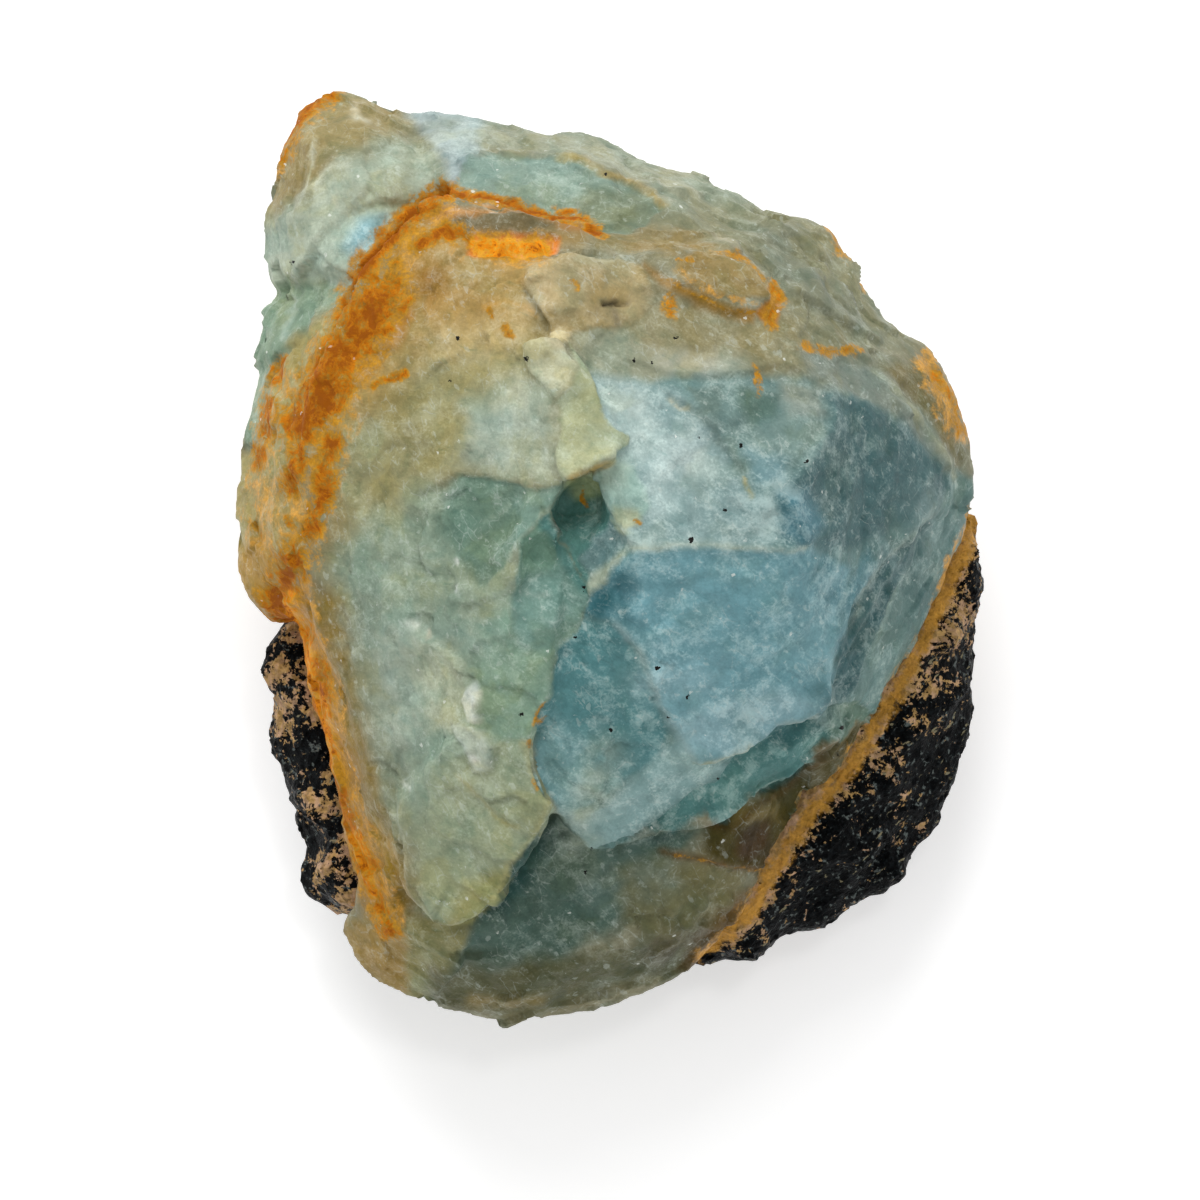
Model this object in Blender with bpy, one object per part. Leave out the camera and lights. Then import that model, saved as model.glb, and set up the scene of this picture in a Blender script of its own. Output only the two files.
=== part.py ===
"""A rough aquamarine grown on a bed of black tourmaline, lying on that bed.

Two solids: the aquamarine, built up from fracture blocks, flakes and chips, and the bed of black
tourmaline crystals that it sits on. All lengths below are in millimetres, X to the right, Y away
and Z up, with the floor at Z 0. The meshes are scaled to metres at the end.
"""

import math
import random

import bmesh
import bpy
import numpy as np
from mathutils import Matrix, Vector, noise

# Driving dimensions
FLOOR_Z = 0.0  # the flat spot that the specimen rests on
FOOT_Z = 3.6  # where the aquamarine's overhanging sides end
FOOT_DRAW = 0.76  # how far in those sides slope, as a share of the rim's reach
FOOT_RISE = 0.12  # how much of a rim's height its foot takes up
CORE_TOP_Z = 16.0  # each block reaches in to a core line from FOOT_Z up to here
CONTACT_GAP = 0.30  # clearance between the aquamarine and its bed
GRAIN = 0.36  # the size of the surface cells that the blocks are fused with
TO_METRES = 0.001

# Broken surfaces: (size of a flat chip, how far it tilts) of each layer, and the swell between them
STONE_CHIPS = ((5.2, 0.055), (2.3, 0.06))
STONE_SWELL = (4.0, 0.12)
BED_CHIPS = ((1.9, 0.2),)
BED_SWELL = (3.0, 0.25)
RIM_GROWTH = 0.06  # makes up for what fusing takes off the rims

STONE_TRIANGLES = 5200
BED_TRIANGLES = 3600
CUTTER_TRIANGLES = 900

# Each block is (rim, top): the rim is where its side turns under, and the top its upper corners.
BLOCKS = {
    "left_shelf": (
        [(-16.9, 12.8, 10.5), (-17.7, 9.6, 11.0), (-18.3, 6.0, 12.0), (-18.4, 3.0, 12.0),
         (-18.6, -0.3, 11.5), (-18.2, -1.9, 11.0), (-16.7, -3.4, 10.5)],
        [(-13.2, 12.8, 17.4), (-14.6, 9.0, 18.4), (-15.9, 5.0, 18.0), (-16.2, 1.0, 17.0),
         (-15.4, -2.6, 15.4)],
    ),
    "upper_left_block": (
        [(-17.2, 13.6, 10.0), (-17.5, 16.9, 10.5), (-16.7, 20.3, 10.4), (-15.7, 22.6, 10.0),
         (-14.6, 23.5, 9.8), (-13.3, 23.5, 9.8), (-12.0, 23.0, 9.8), (-10.4, 22.3, 10.2)],
        [(-8.9, 20.8, 11.5), (-8.1, 18.6, 14.6), (-14.9, 20.8, 13.8), (-12.6, 21.2, 14.0),
         (-15.3, 17.0, 15.2), (-11.3, 18.4, 16.6), (-14.8, 14.4, 15.6), (-12.6, 13.8, 17.0)],
    ),
    "top_ledge": (
        [(-9.9, 22.2, 10.2), (-9.0, 22.4, 10.4), (-7.6, 22.0, 11.0), (-5.2, 21.8, 11.4),
         (-3.4, 21.1, 11.4), (-0.4, 21.0, 11.6), (0.9, 20.2, 11.8)],
        [(-8.1, 18.2, 17.4), (-6.2, 20.0, 15.2), (-2.4, 20.0, 15.4), (0.2, 19.0, 16.4),
         (-3.8, 17.4, 17.6), (0.6, 16.4, 18.2)],
    ),
    "top_right_ledge": (
        [(1.0, 19.8, 11.8), (1.9, 19.4, 12.0), (4.5, 19.1, 12.0), (6.1, 18.4, 12.2),
         (7.3, 17.5, 12.2), (8.2, 16.4, 12.2)],
        [(1.4, 18.6, 16.2), (2.7, 17.6, 17.4), (0.8, 16.4, 18.2), (4.6, 16.3, 18.4),
         (6.6, 15.4, 18.6)],
    ),
    "upper_right_block": (
        [(7.4, 17.2, 12.0), (8.6, 17.1, 12.0), (10.2, 16.9, 12.0), (11.3, 16.2, 12.0),
         (11.7, 15.2, 12.0)],
        [(6.0, 15.8, 19.2), (8.6, 13.4, 20.0), (10.4, 12.6, 18.6)],
    ),
    "right_corner": (
        [(11.5, 15.4, 12.0), (12.2, 15.1, 12.0), (12.8, 14.3, 12.0), (12.9, 13.0, 12.2),
         (14.7, 10.9, 12.2)],
        [(8.6, 12.8, 20.2), (10.8, 12.0, 18.4), (12.0, 9.8, 18.6), (9.6, 9.6, 21.4)],
    ),
    "right_shoulder": (
        [(14.5, 10.9, 12.0), (15.4, 10.8, 12.0), (16.3, 9.6, 12.0), (17.2, 8.6, 11.8),
         (17.7, 7.2, 11.6), (18.1, 4.6, 11.0), (18.3, 2.8, 10.4)],
        [(11.0, 9.8, 19.6), (14.0, 9.2, 16.8), (15.6, 6.8, 15.6), (16.5, 4.4, 14.8),
         (16.2, 2.6, 14.8)],
    ),
    "right_flank": (
        [(18.1, 2.2, 9.8), (17.2, -0.8, 9.6), (16.5, -2.6, 9.6), (15.1, -5.2, 9.6),
         (13.7, -7.4, 9.8), (11.8, -9.9, 10.2), (9.8, -12.2, 10.2)],
        [(16.1, 2.4, 14.6), (12.9, -1.8, 17.6), (11.5, -5.6, 17.6), (11.1, -8.2, 16.4)],
    ),
    "bottom_mass": (
        [(-9.1, -22.4, 9.0), (-7.4, -23.1, 8.8), (-4.9, -23.6, 8.8), (-3.0, -23.4, 8.8),
         (0.2, -22.5, 8.6), (2.7, -21.8, 8.4), (4.2, -20.9, 8.4), (5.9, -19.2, 8.8),
         (7.6, -17.0, 9.4), (8.2, -15.0, 10.0), (9.8, -12.4, 10.2)],
        [(-7.0, -18.6, 15.2), (-5.0, -15.4, 16.4), (-2.6, -13.2, 16.6), (2.0, -14.2, 15.6),
         (5.0, -14.4, 14.4), (7.6, -12.4, 13.8), (-8.4, -20.8, 12.6), (-4.0, -21.2, 12.8),
         (1.2, -19.8, 12.8), (4.8, -17.4, 12.8)],
    ),
    "lower_left_mass": (
        [(-13.5, -18.9, 9.4), (-13.0, -20.1, 9.4), (-12.3, -21.0, 9.4), (-11.1, -21.7, 9.4),
         (-9.7, -22.2, 9.4), (-8.7, -22.3, 9.6)],
        [(-12.4, -16.4, 12.0), (-11.0, -18.4, 13.2), (-9.0, -18.6, 15.0), (-7.2, -19.2, 14.8),
         (-8.0, -21.0, 12.4)],
    ),
    "left_crown": (
        [(-15.4, -3.4, 13.4), (-14.7, -6.0, 12.0), (-14.2, -9.0, 11.6), (-13.4, -12.0, 11.2),
         (-12.7, -15.0, 10.8), (-11.9, -18.0, 10.6)],
        [(-8.3, 18.2, 20.4), (-10.5, 17.0, 20.4), (-12.4, 14.3, 20.2), (-13.9, 11.0, 19.9),
         (-15.2, 7.6, 19.3), (-15.7, 3.6, 18.4), (-15.4, -0.5, 17.4), (-14.2, -5.0, 15.6),
         (-4.6, 13.9, 23.9), (-4.2, 10.2, 25.2), (-2.5, 4.4, 26.4), (-3.0, 2.3, 26.2),
         (-4.6, 0.3, 25.8), (-4.9, -3.0, 25.2), (-2.5, -4.3, 24.6), (-3.1, -8.0, 23.6),
         (-3.9, -9.0, 23.3), (-0.4, 16.1, 21.0), (-8.4, -13.0, 20.2), (-10.2, -16.6, 16.6)],
    ),
    "upper_crown": (
        [(-8.0, 18.0, 17.0), (-1.6, 16.8, 17.0), (4.6, 16.2, 17.0), (8.4, 13.2, 17.0)],
        [(-4.1, 14.4, 23.2), (-3.9, 13.0, 24.3), (-2.6, 11.2, 24.9), (0.3, 15.8, 20.8),
         (3.6, 15.2, 21.2), (6.0, 15.4, 20.0), (7.9, 13.0, 20.8), (8.4, 11.4, 21.2),
         (9.8, 9.6, 21.6), (3.0, 10.0, 24.2), (-1.0, 9.6, 24.9)],
    ),
    "blue_mass": (
        [(11.0, 8.6, 17.0), (15.0, 7.2, 13.0), (11.4, -5.6, 13.0), (-3.0, -12.0, 14.0)],
        [(-1.8, 11.8, 24.4), (3.4, 12.8, 22.6), (7.8, 11.6, 21.2), (0.2, 6.0, 26.0),
         (1.8, 0.5, 26.3), (8.9, 0.5, 25.0), (9.2, 4.8, 24.6), (10.7, 8.4, 21.8),
         (14.8, 7.6, 17.2), (16.3, 4.6, 15.2),
         (16.0, 2.6, 15.2), (12.8, -1.5, 18.7), (11.3, -5.6, 18.9), (10.6, -7.3, 18.6),
         (8.4, -8.4, 19.2), (4.4, -10.0, 20.4), (0.2, -3.6, 24.6), (-2.6, -5.0, 23.0),
         (-3.6, -9.5, 21.6), (-2.6, -12.7, 19.9), (0.3, -11.6, 20.2), (-1.0, -14.0, 18.6)],
    ),
    "blue_lip": (
        [(-2.2, -13.0, 15.0), (2.6, -13.2, 14.5), (8.0, -11.2, 14.0), (11.6, -8.8, 13.0)],
        [(-2.3, -13.4, 18.6), (-0.8, -14.7, 18.1), (0.3, -14.8, 18.0), (1.9, -13.5, 17.9),
         (3.4, -13.7, 17.2), (5.4, -13.1, 16.8), (8.2, -11.6, 16.4), (10.2, -10.0, 15.8),
         (11.9, -8.9, 15.2), (11.0, -7.0, 17.6), (4.4, -9.4, 19.6), (0.0, -11.0, 20.0)],
    ),
}

# Each flake is (outline, thickness): a plate with a sharp edge that stands over what lies under it.
FLAKES = {
    "tongue": (
        [(-4.4, -8.2, 23.4), (-3.6, -10.4, 23.2), (-2.7, -12.2, 22.6), (-3.0, -13.2, 22.2),
         (-4.1, -14.5, 21.6), (-4.9, -15.6, 21.0), (-5.4, -16.9, 20.4), (-6.4, -18.0, 19.6),
         (-7.3, -18.5, 19.0), (-8.4, -18.5, 18.4), (-10.0, -17.0, 17.4), (-10.6, -12.0, 19.4),
         (-8.2, -9.4, 22.2)],
        3.4,
    ),
    "yellow_flake": (
        [(-3.0, 10.4, 25.6), (-1.9, 10.3, 25.6), (-0.4, 7.5, 26.4), (0.8, 5.8, 26.8),
         (0.1, 4.6, 27.1), (-1.2, 4.0, 27.2), (-2.2, 3.6, 27.2), (-2.9, 5.0, 27.0),
         (-3.6, 8.0, 26.2)],
        1.6,
    ),
    "tan_slab": (
        [(2.0, 14.6, 22.3), (3.6, 15.0, 21.9), (5.6, 15.0, 21.4), (6.8, 14.5, 21.2),
         (7.9, 13.3, 21.3), (7.8, 12.3, 21.9), (6.0, 12.2, 22.6), (4.2, 12.9, 22.9),
         (2.8, 13.8, 22.8)],
        2.0,
    ),
    "upper_lump": (
        [(-4.1, 14.4, 24.0), (-4.0, 13.2, 24.8), (-3.0, 12.2, 25.5), (-1.4, 11.4, 25.5),
         (0.0, 12.4, 25.0), (0.2, 14.6, 23.4), (-2.4, 14.9, 23.2)],
        2.0,
    ),
    "rhomb_flake": (
        [(-4.1, 10.4, 26.1), (-2.6, 10.7, 26.0), (-1.7, 9.1, 26.3), (-2.6, 7.7, 26.9),
         (-3.7, 8.6, 26.7)],
        1.2,
    ),
}

# Each chip is a hollow left where a piece broke away: its corners, from the surface down.
CHIPS = {
    "pocket": [
        (-2.4, 3.5, 28.0), (-0.7, 4.2, 28.0), (0.2, 2.1, 28.0), (-0.9, 0.1, 28.0),
        (-1.4, -0.5, 28.0), (-2.1, 0.4, 28.0), (-3.3, 2.2, 28.0), (-2.2, 3.1, 22.4),
        (-0.9, 3.7, 22.6), (-0.3, 2.0, 23.6), (-1.4, 0.1, 24.4), (-2.9, 2.1, 22.6),
    ],
    "pocket_ledge": [
        (0.2, 2.2, 28.0), (1.8, 0.9, 28.0), (0.9, -0.4, 28.0), (-0.8, -2.1, 28.0),
        (-1.4, -1.2, 28.0), (-1.0, 0.4, 28.0), (0.0, 1.8, 24.6), (1.3, 0.8, 25.6),
        (0.5, -0.4, 25.2), (-0.8, -1.8, 24.2), (-1.1, 0.0, 24.0),
    ],
    "nook": [
        (0.6, 0.3, 28.0), (2.2, -0.4, 28.0), (2.2, -2.2, 28.0), (0.6, -3.4, 28.0),
        (-0.8, -2.6, 28.0), (0.0, -1.8, 23.0), (0.5, -3.0, 23.2), (1.8, -1.4, 25.0),
    ],
    "green_hollow": [
        (-9.0, 4.4, 26.0), (-3.0, 3.6, 27.4), (-4.9, 0.0, 27.4), (-9.2, -0.6, 25.4),
        (-7.0, 2.8, 23.9), (-4.4, 3.0, 24.7), (-5.2, 0.8, 24.4), (-8.2, -0.2, 23.4),
    ],
    "green_step": [
        (-4.5, 0.6, 27.6), (-3.0, 1.9, 27.6), (-1.9, -0.1, 27.6), (-1.0, -2.4, 27.4),
        (-2.6, -3.6, 27.0), (-4.6, -3.4, 27.0), (-4.2, 0.0, 24.3), (-3.0, 0.9, 24.5),
        (-1.9, -1.3, 24.5), (-2.6, -3.2, 24.9), (-4.4, -2.6, 24.8),
    ],
    "lip_bite": [
        (1.1, -14.6, 19.0), (1.9, -13.6, 19.0), (2.9, -14.6, 19.0), (1.1, -14.6, 15.0),
        (1.9, -13.6, 15.0), (2.9, -14.6, 15.0),
    ],
    "orange_groove": [
        (-7.8, 16.2, 23.0), (-2.0, 16.1, 23.6), (-2.0, 15.0, 24.4), (-7.4, 14.9, 24.0),
        (-6.8, 15.6, 20.9), (-2.8, 15.5, 21.4),
    ],
    "left_notch": [
        (-17.9, 13.1, 14.0), (-16.2, 13.5, 14.0), (-16.2, 12.4, 14.0), (-17.9, 12.2, 6.0),
        (-17.9, 14.0, 6.0), (-16.4, 13.0, 6.0),
    ],
}

# The bed: the seam where it comes out from under the aquamarine, its rim, and its underside.
BED_SEAM = [
    (18.1, 1.8, 8.6), (17.2, -1.6, 9.4), (15.6, -5.4, 9.8), (13.8, -8.4, 10.0),
    (11.6, -12.0, 10.0), (9.0, -15.4, 9.8), (6.6, -18.4, 8.8),
    (-16.2, -4.2, 9.0), (-15.2, -8.0, 9.6), (-13.8, -12.8, 9.6), (-12.6, -16.8, 9.2),
]
BED_RIM_RIGHT = [
    (17.3, 2.2, 6.8), (17.7, -1.0, 6.2), (18.3, -4.9, 5.8), (18.0, -8.5, 5.6),
    (17.2, -12.0, 5.6), (15.5, -15.1, 5.6), (12.9, -17.3, 5.6), (9.9, -18.9, 5.6),
    (7.6, -20.3, 5.8), (5.2, -20.6, 6.0),
]
BED_RIM_LEFT = [
    (-16.8, -4.6, 6.8), (-16.7, -7.4, 6.4), (-16.2, -10.6, 6.0), (-15.6, -13.4, 5.8),
    (-14.7, -16.6, 5.8), (-13.4, -18.4, 6.0),
]
BED_HIDDEN = [(10.0, 9.0, 7.0), (0.0, 11.0, 7.0), (-10.0, 8.0, 7.0), (0.0, -4.0, 10.6)]
BED_UNDERSIDE = [
    (-7.0, -9.5), (-9.0, -3.0), (-5.0, 5.5), (4.0, 6.5), (8.8, 2.0), (10.0, -4.5),
    (6.5, -10.0), (0.0, -11.5),
]
BED_UNDERSIDE_Z = -0.6  # cut back to FLOOR_Z, which leaves the flat spot

# Tourmaline prisms fused to the bed's open flanks
CRYSTAL_SEED = 11
CRYSTALS_RIGHT, CRYSTALS_LEFT = 74, 30
CRYSTAL_RADIUS = (0.45, 1.05)
CRYSTAL_LENGTH = (1.6, 4.2)
CRYSTAL_SIDES = 6
CRYSTAL_SINK = 0.6  # how deep they sit in the flank


def clear_scene():
    for obj in list(bpy.data.objects):
        bpy.data.objects.remove(obj)


def new_object(name, mesh, collection=None):
    obj = bpy.data.objects.new(name, mesh)
    (collection or bpy.context.scene.collection).objects.link(obj)
    return obj


def hull_object(name, corners, collection=None):
    """The convex block with these corners."""
    bm = bmesh.new()
    for corner in corners:
        bm.verts.new(corner)
    made = bmesh.ops.convex_hull(bm, input=bm.verts)
    loose = {v for v in made["geom_interior"] if isinstance(v, bmesh.types.BMVert)}
    bmesh.ops.delete(bm, geom=list(loose), context="VERTS")
    bmesh.ops.recalc_face_normals(bm, faces=bm.faces)
    mesh = bpy.data.meshes.new(name)
    bm.to_mesh(mesh)
    bm.free()
    return new_object(name, mesh, collection)


def block_corners(rim, top):
    """A block's corners: its rim, its top, the foot that its sides slope in to, and the core line."""
    outer = []
    foot = []
    for x, y, z in rim:
        reach = math.hypot(x, y)
        grown = (reach + RIM_GROWTH) / reach
        outer.append((x * grown, y * grown, z))
        # The underside rises and falls from one block to the next.
        foot.append((x * FOOT_DRAW, y * FOOT_DRAW, FOOT_Z + z * FOOT_RISE))
    core = [(0.0, 0.0, FOOT_Z), (0.0, 0.0, CORE_TOP_Z)]
    return [*outer, *top, *foot, *core]


def flake_corners(outline, thickness):
    """A flake's corners: its outline, and the same outline drawn in below, so that its edge overhangs."""
    middle = sum((Vector(p) for p in outline), Vector()) / len(outline)
    under = [Vector(p).lerp(middle, 0.12) - Vector((0, 0, thickness)) for p in outline]
    return [*outline, *under]


def helper_collection(name):
    collection = bpy.data.collections.new(name)
    bpy.context.scene.collection.children.link(collection)
    return collection


def boolean(obj, operation, collection):
    modifier = obj.modifiers.new(operation.title(), "BOOLEAN")
    modifier.operation = operation
    modifier.operand_type = "COLLECTION"
    modifier.collection = collection
    modifier.solver = "EXACT"


def bake(obj):
    """Gives the object its evaluated mesh and drops its modifiers."""
    bpy.context.view_layer.update()
    evaluated = obj.evaluated_get(bpy.context.evaluated_depsgraph_get())
    mesh = bpy.data.meshes.new_from_object(evaluated)
    obj.modifiers.clear()
    obj.data = mesh


def remove_helpers(collection):
    for obj in list(collection.objects):
        bpy.data.objects.remove(obj)
    bpy.data.collections.remove(collection)


def fuse(obj, grain=GRAIN):
    """Fuses overlapping blocks into one skin of even cells."""
    modifier = obj.modifiers.new("Fuse", "REMESH")
    modifier.mode = "VOXEL"
    modifier.voxel_size = grain
    bake(obj)


def chip_height(place, size, tilt):
    """The height at a place on flat chips of this size, each tilted its own way."""
    centre = noise.voronoi(place / size)[1][0]
    way = noise.cell_vector(centre * 7.3) * 2 - Vector((1, 1, 1))
    return way.dot(place - centre * size) * tilt


def roughen(obj, chips, swell, seed):
    """Moves the skin along its normals: flat tilted chips with steps between them, on a gentle swell."""
    offset = Vector((seed * 37.1, seed * 11.7, seed * 5.3))
    wave, rise = swell
    moved = []
    for vertex in obj.data.vertices:
        place = vertex.co + offset
        height = noise.noise(place / wave) * rise
        height += sum(chip_height(place, size, tilt) for size, tilt in chips)
        moved.append(vertex.co + vertex.normal * height)
    obj.data.vertices.foreach_set("co", np.array(moved, np.float32).ravel())
    obj.data.update()


def thin_out(obj, triangles):
    """Keeps the edges and drops cells from the flat stretches, down to this many triangles."""
    now = sum(len(p.vertices) - 2 for p in obj.data.polygons)
    modifier = obj.modifiers.new("Thin", "DECIMATE")
    modifier.ratio = triangles / now
    bake(obj)


def material(name, colour, roughness):
    made = bpy.data.materials.new(name)
    made.use_nodes = True
    shader = made.node_tree.nodes["Principled BSDF"]
    shader.inputs["Base Color"].default_value = (*colour, 1.0)
    shader.inputs["Roughness"].default_value = roughness
    return made


def along(line, share):
    """The point at this share of the way along an open line."""
    place = share * (len(line) - 1)
    start = min(int(place), len(line) - 2)
    return Vector(line[start]).lerp(Vector(line[start + 1]), place - start)


def add_crystals(rim, seam, count, dice, collection):
    """Short six-sided prisms, sunk at all angles into the flank between the rim and the seam."""
    for number in range(count):
        share = dice.random()
        place = along(rim, share).lerp(along(seam, share), dice.uniform(0.0, 0.95))
        bm = bmesh.new()
        radius = dice.uniform(*CRYSTAL_RADIUS)
        bmesh.ops.create_cone(
            bm, cap_ends=True, segments=CRYSTAL_SIDES, radius1=radius,
            radius2=radius * dice.uniform(0.55, 1.0), depth=dice.uniform(*CRYSTAL_LENGTH),
        )
        # The prisms lie near the flank, mostly along the rim.
        lean = Matrix.Rotation(dice.uniform(-0.7, 0.7), 4, "X")
        tip = Matrix.Rotation(math.pi / 2 + dice.uniform(-0.6, 0.6), 4, "Y")
        run = Matrix.Rotation(dice.uniform(0.0, math.pi), 4, "Z")
        inward = Vector((-place.x, -place.y, 0)).normalized() * CRYSTAL_SINK
        bm.transform(Matrix.Translation(place + inward) @ run @ tip @ lean)
        mesh = bpy.data.meshes.new("crystal")
        bm.to_mesh(mesh)
        bm.free()
        new_object(f"crystal_{number}", mesh, collection)


def cut_flat(obj, height):
    """Cuts off what lies below this height and closes the cut with a flat face."""
    bm = bmesh.new()
    bm.from_mesh(obj.data)
    bmesh.ops.bisect_plane(
        bm, geom=[*bm.verts, *bm.edges, *bm.faces], dist=1e-5,
        plane_co=(0, 0, height), plane_no=(0, 0, -1), clear_outer=True,
    )
    open_edges = [e for e in bm.edges if e.is_boundary]
    bmesh.ops.triangle_fill(bm, edges=open_edges, use_dissolve=False, normal=(0, 0, -1))
    bmesh.ops.recalc_face_normals(bm, faces=bm.faces)
    bm.to_mesh(obj.data)
    bm.free()


def build_bed():
    """The black tourmaline: a slab with prisms over its open flanks and a flat spot underneath."""
    underside = [(x, y, BED_UNDERSIDE_Z) for x, y in BED_UNDERSIDE]
    slab = [*BED_SEAM, *BED_RIM_RIGHT, *BED_RIM_LEFT, *BED_HIDDEN, *underside]
    bed = hull_object("black_tourmaline", slab)
    crystals = helper_collection("crystals")
    dice = random.Random(CRYSTAL_SEED)
    right, left = BED_SEAM[:7], BED_SEAM[7:]
    add_crystals(BED_RIM_RIGHT, right, CRYSTALS_RIGHT, dice, crystals)
    add_crystals(BED_RIM_LEFT, left, CRYSTALS_LEFT, dice, crystals)
    boolean(bed, "UNION", crystals)
    bake(bed)
    remove_helpers(crystals)
    fuse(bed)
    roughen(bed, BED_CHIPS, BED_SWELL, seed=2)
    thin_out(bed, BED_TRIANGLES)
    cut_flat(bed, FLOOR_Z)
    return bed


def bed_cutter(bed):
    """The bed grown by the contact gap, to cut its seat into the aquamarine."""
    cutter = new_object("bed_cutter", bed.data.copy())
    swell = cutter.modifiers.new("Swell", "DISPLACE")
    swell.strength = CONTACT_GAP + GRAIN / 2
    swell.mid_level = 0.0
    fuse(cutter)
    thin_out(cutter, CUTTER_TRIANGLES)
    cutter.hide_render = True
    cutter.display_type = "WIRE"
    return cutter


def build_stone(bed):
    """The aquamarine: blocks and flakes fused, chips cut out, and the bed's seat cut from below."""
    blocks = helper_collection("blocks")
    for name, (rim, top) in BLOCKS.items():
        hull_object(name, block_corners(rim, top), blocks)
    for name, (outline, thickness) in FLAKES.items():
        hull_object(name, flake_corners(outline, thickness), blocks)
    chips = helper_collection("chips")
    for name, corners in CHIPS.items():
        hull_object(name, corners, chips)
    first = blocks.objects["left_crown"]
    stone = new_object("aquamarine", first.data.copy())
    bpy.data.objects.remove(first)
    boolean(stone, "UNION", blocks)
    boolean(stone, "DIFFERENCE", chips)
    bake(stone)
    remove_helpers(blocks)
    remove_helpers(chips)
    fuse(stone)
    roughen(stone, STONE_CHIPS, STONE_SWELL, seed=1)
    thin_out(stone, STONE_TRIANGLES)
    seat = helper_collection("seat")
    cutter = bed_cutter(bed)
    bpy.context.scene.collection.objects.unlink(cutter)
    seat.objects.link(cutter)
    boolean(stone, "DIFFERENCE", seat)
    bake(stone)
    remove_helpers(seat)
    return stone


def plan_centre(objects):
    """The middle of the box round these objects, on the floor."""
    points = np.array([vertex.co for obj in objects for vertex in obj.data.vertices])
    middle = (points.min(axis=0) + points.max(axis=0)) / 2
    return Vector((middle[0], middle[1], FLOOR_Z))


def finish(obj, centre, finish_material):
    """Centres the mesh over the origin, scales it to metres and gives it its material."""
    obj.data.transform(Matrix.Scale(TO_METRES, 4) @ Matrix.Translation(-centre))
    obj.data.materials.clear()
    obj.data.materials.append(finish_material)
    obj.data.polygons.foreach_set("use_smooth", [False] * len(obj.data.polygons))


def main():
    clear_scene()
    bed = build_bed()
    stone = build_stone(bed)
    centre = plan_centre([bed, stone])
    finish(bed, centre, material("Black tourmaline", (0.012, 0.013, 0.015), 0.38))
    finish(stone, centre, material("Aquamarine", (0.36, 0.47, 0.42), 0.32))


main()
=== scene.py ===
"""The looks of a rough aquamarine on its bed of black tourmaline, seen from straight above.

Plan places are in millimetres as the picture shows them: x to the right and y up the picture, from
the middle of the piece. The CAD nodes give the shape; here they get fracture relief and colour.
"""

import math
from itertools import product

import bmesh
import bpy
import numpy as np
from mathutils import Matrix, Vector
from mathutils.kdtree import KDTree

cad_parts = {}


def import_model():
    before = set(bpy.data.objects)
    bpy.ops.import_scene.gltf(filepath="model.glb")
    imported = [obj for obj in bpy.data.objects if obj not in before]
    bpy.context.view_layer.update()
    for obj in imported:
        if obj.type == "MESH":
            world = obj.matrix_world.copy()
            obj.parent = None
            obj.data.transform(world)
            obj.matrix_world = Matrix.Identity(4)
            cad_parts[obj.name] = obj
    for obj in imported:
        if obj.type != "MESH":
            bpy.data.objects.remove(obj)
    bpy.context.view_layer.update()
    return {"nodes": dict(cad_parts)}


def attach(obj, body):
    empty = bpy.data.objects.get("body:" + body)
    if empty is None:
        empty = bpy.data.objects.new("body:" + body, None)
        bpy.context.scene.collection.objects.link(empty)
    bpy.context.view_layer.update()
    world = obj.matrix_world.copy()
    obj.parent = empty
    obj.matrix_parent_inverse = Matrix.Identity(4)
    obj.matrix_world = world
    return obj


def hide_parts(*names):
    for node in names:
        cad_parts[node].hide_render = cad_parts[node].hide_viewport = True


MM = 0.001
PLAN_SHIFT = np.array([-0.14, 0.065])  # the picture's middle, from the frame's origin
FINE = 0.19  # size of a surface cell on the aquamarine
STONE_FACES = 195000  # triangles left on it once its underside is thinned
BED_FINE = 0.25  # size of a surface cell on the black tourmaline
SEAM_FILL = 0.11  # each side swells this much at the contact, so that no dark gap shows


def srgb(red, green, blue):
    """A colour from 0 to 255 a channel, as linear light."""
    share = np.array([red, green, blue], float) / 255
    return np.where(share <= 0.04045, share / 12.92, ((share + 0.055) / 1.055) ** 2.4)


# The tints were brought close to each zone's mean colour in the picture by comparing the two
BASE_TINT = (134, 132, 106)

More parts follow.
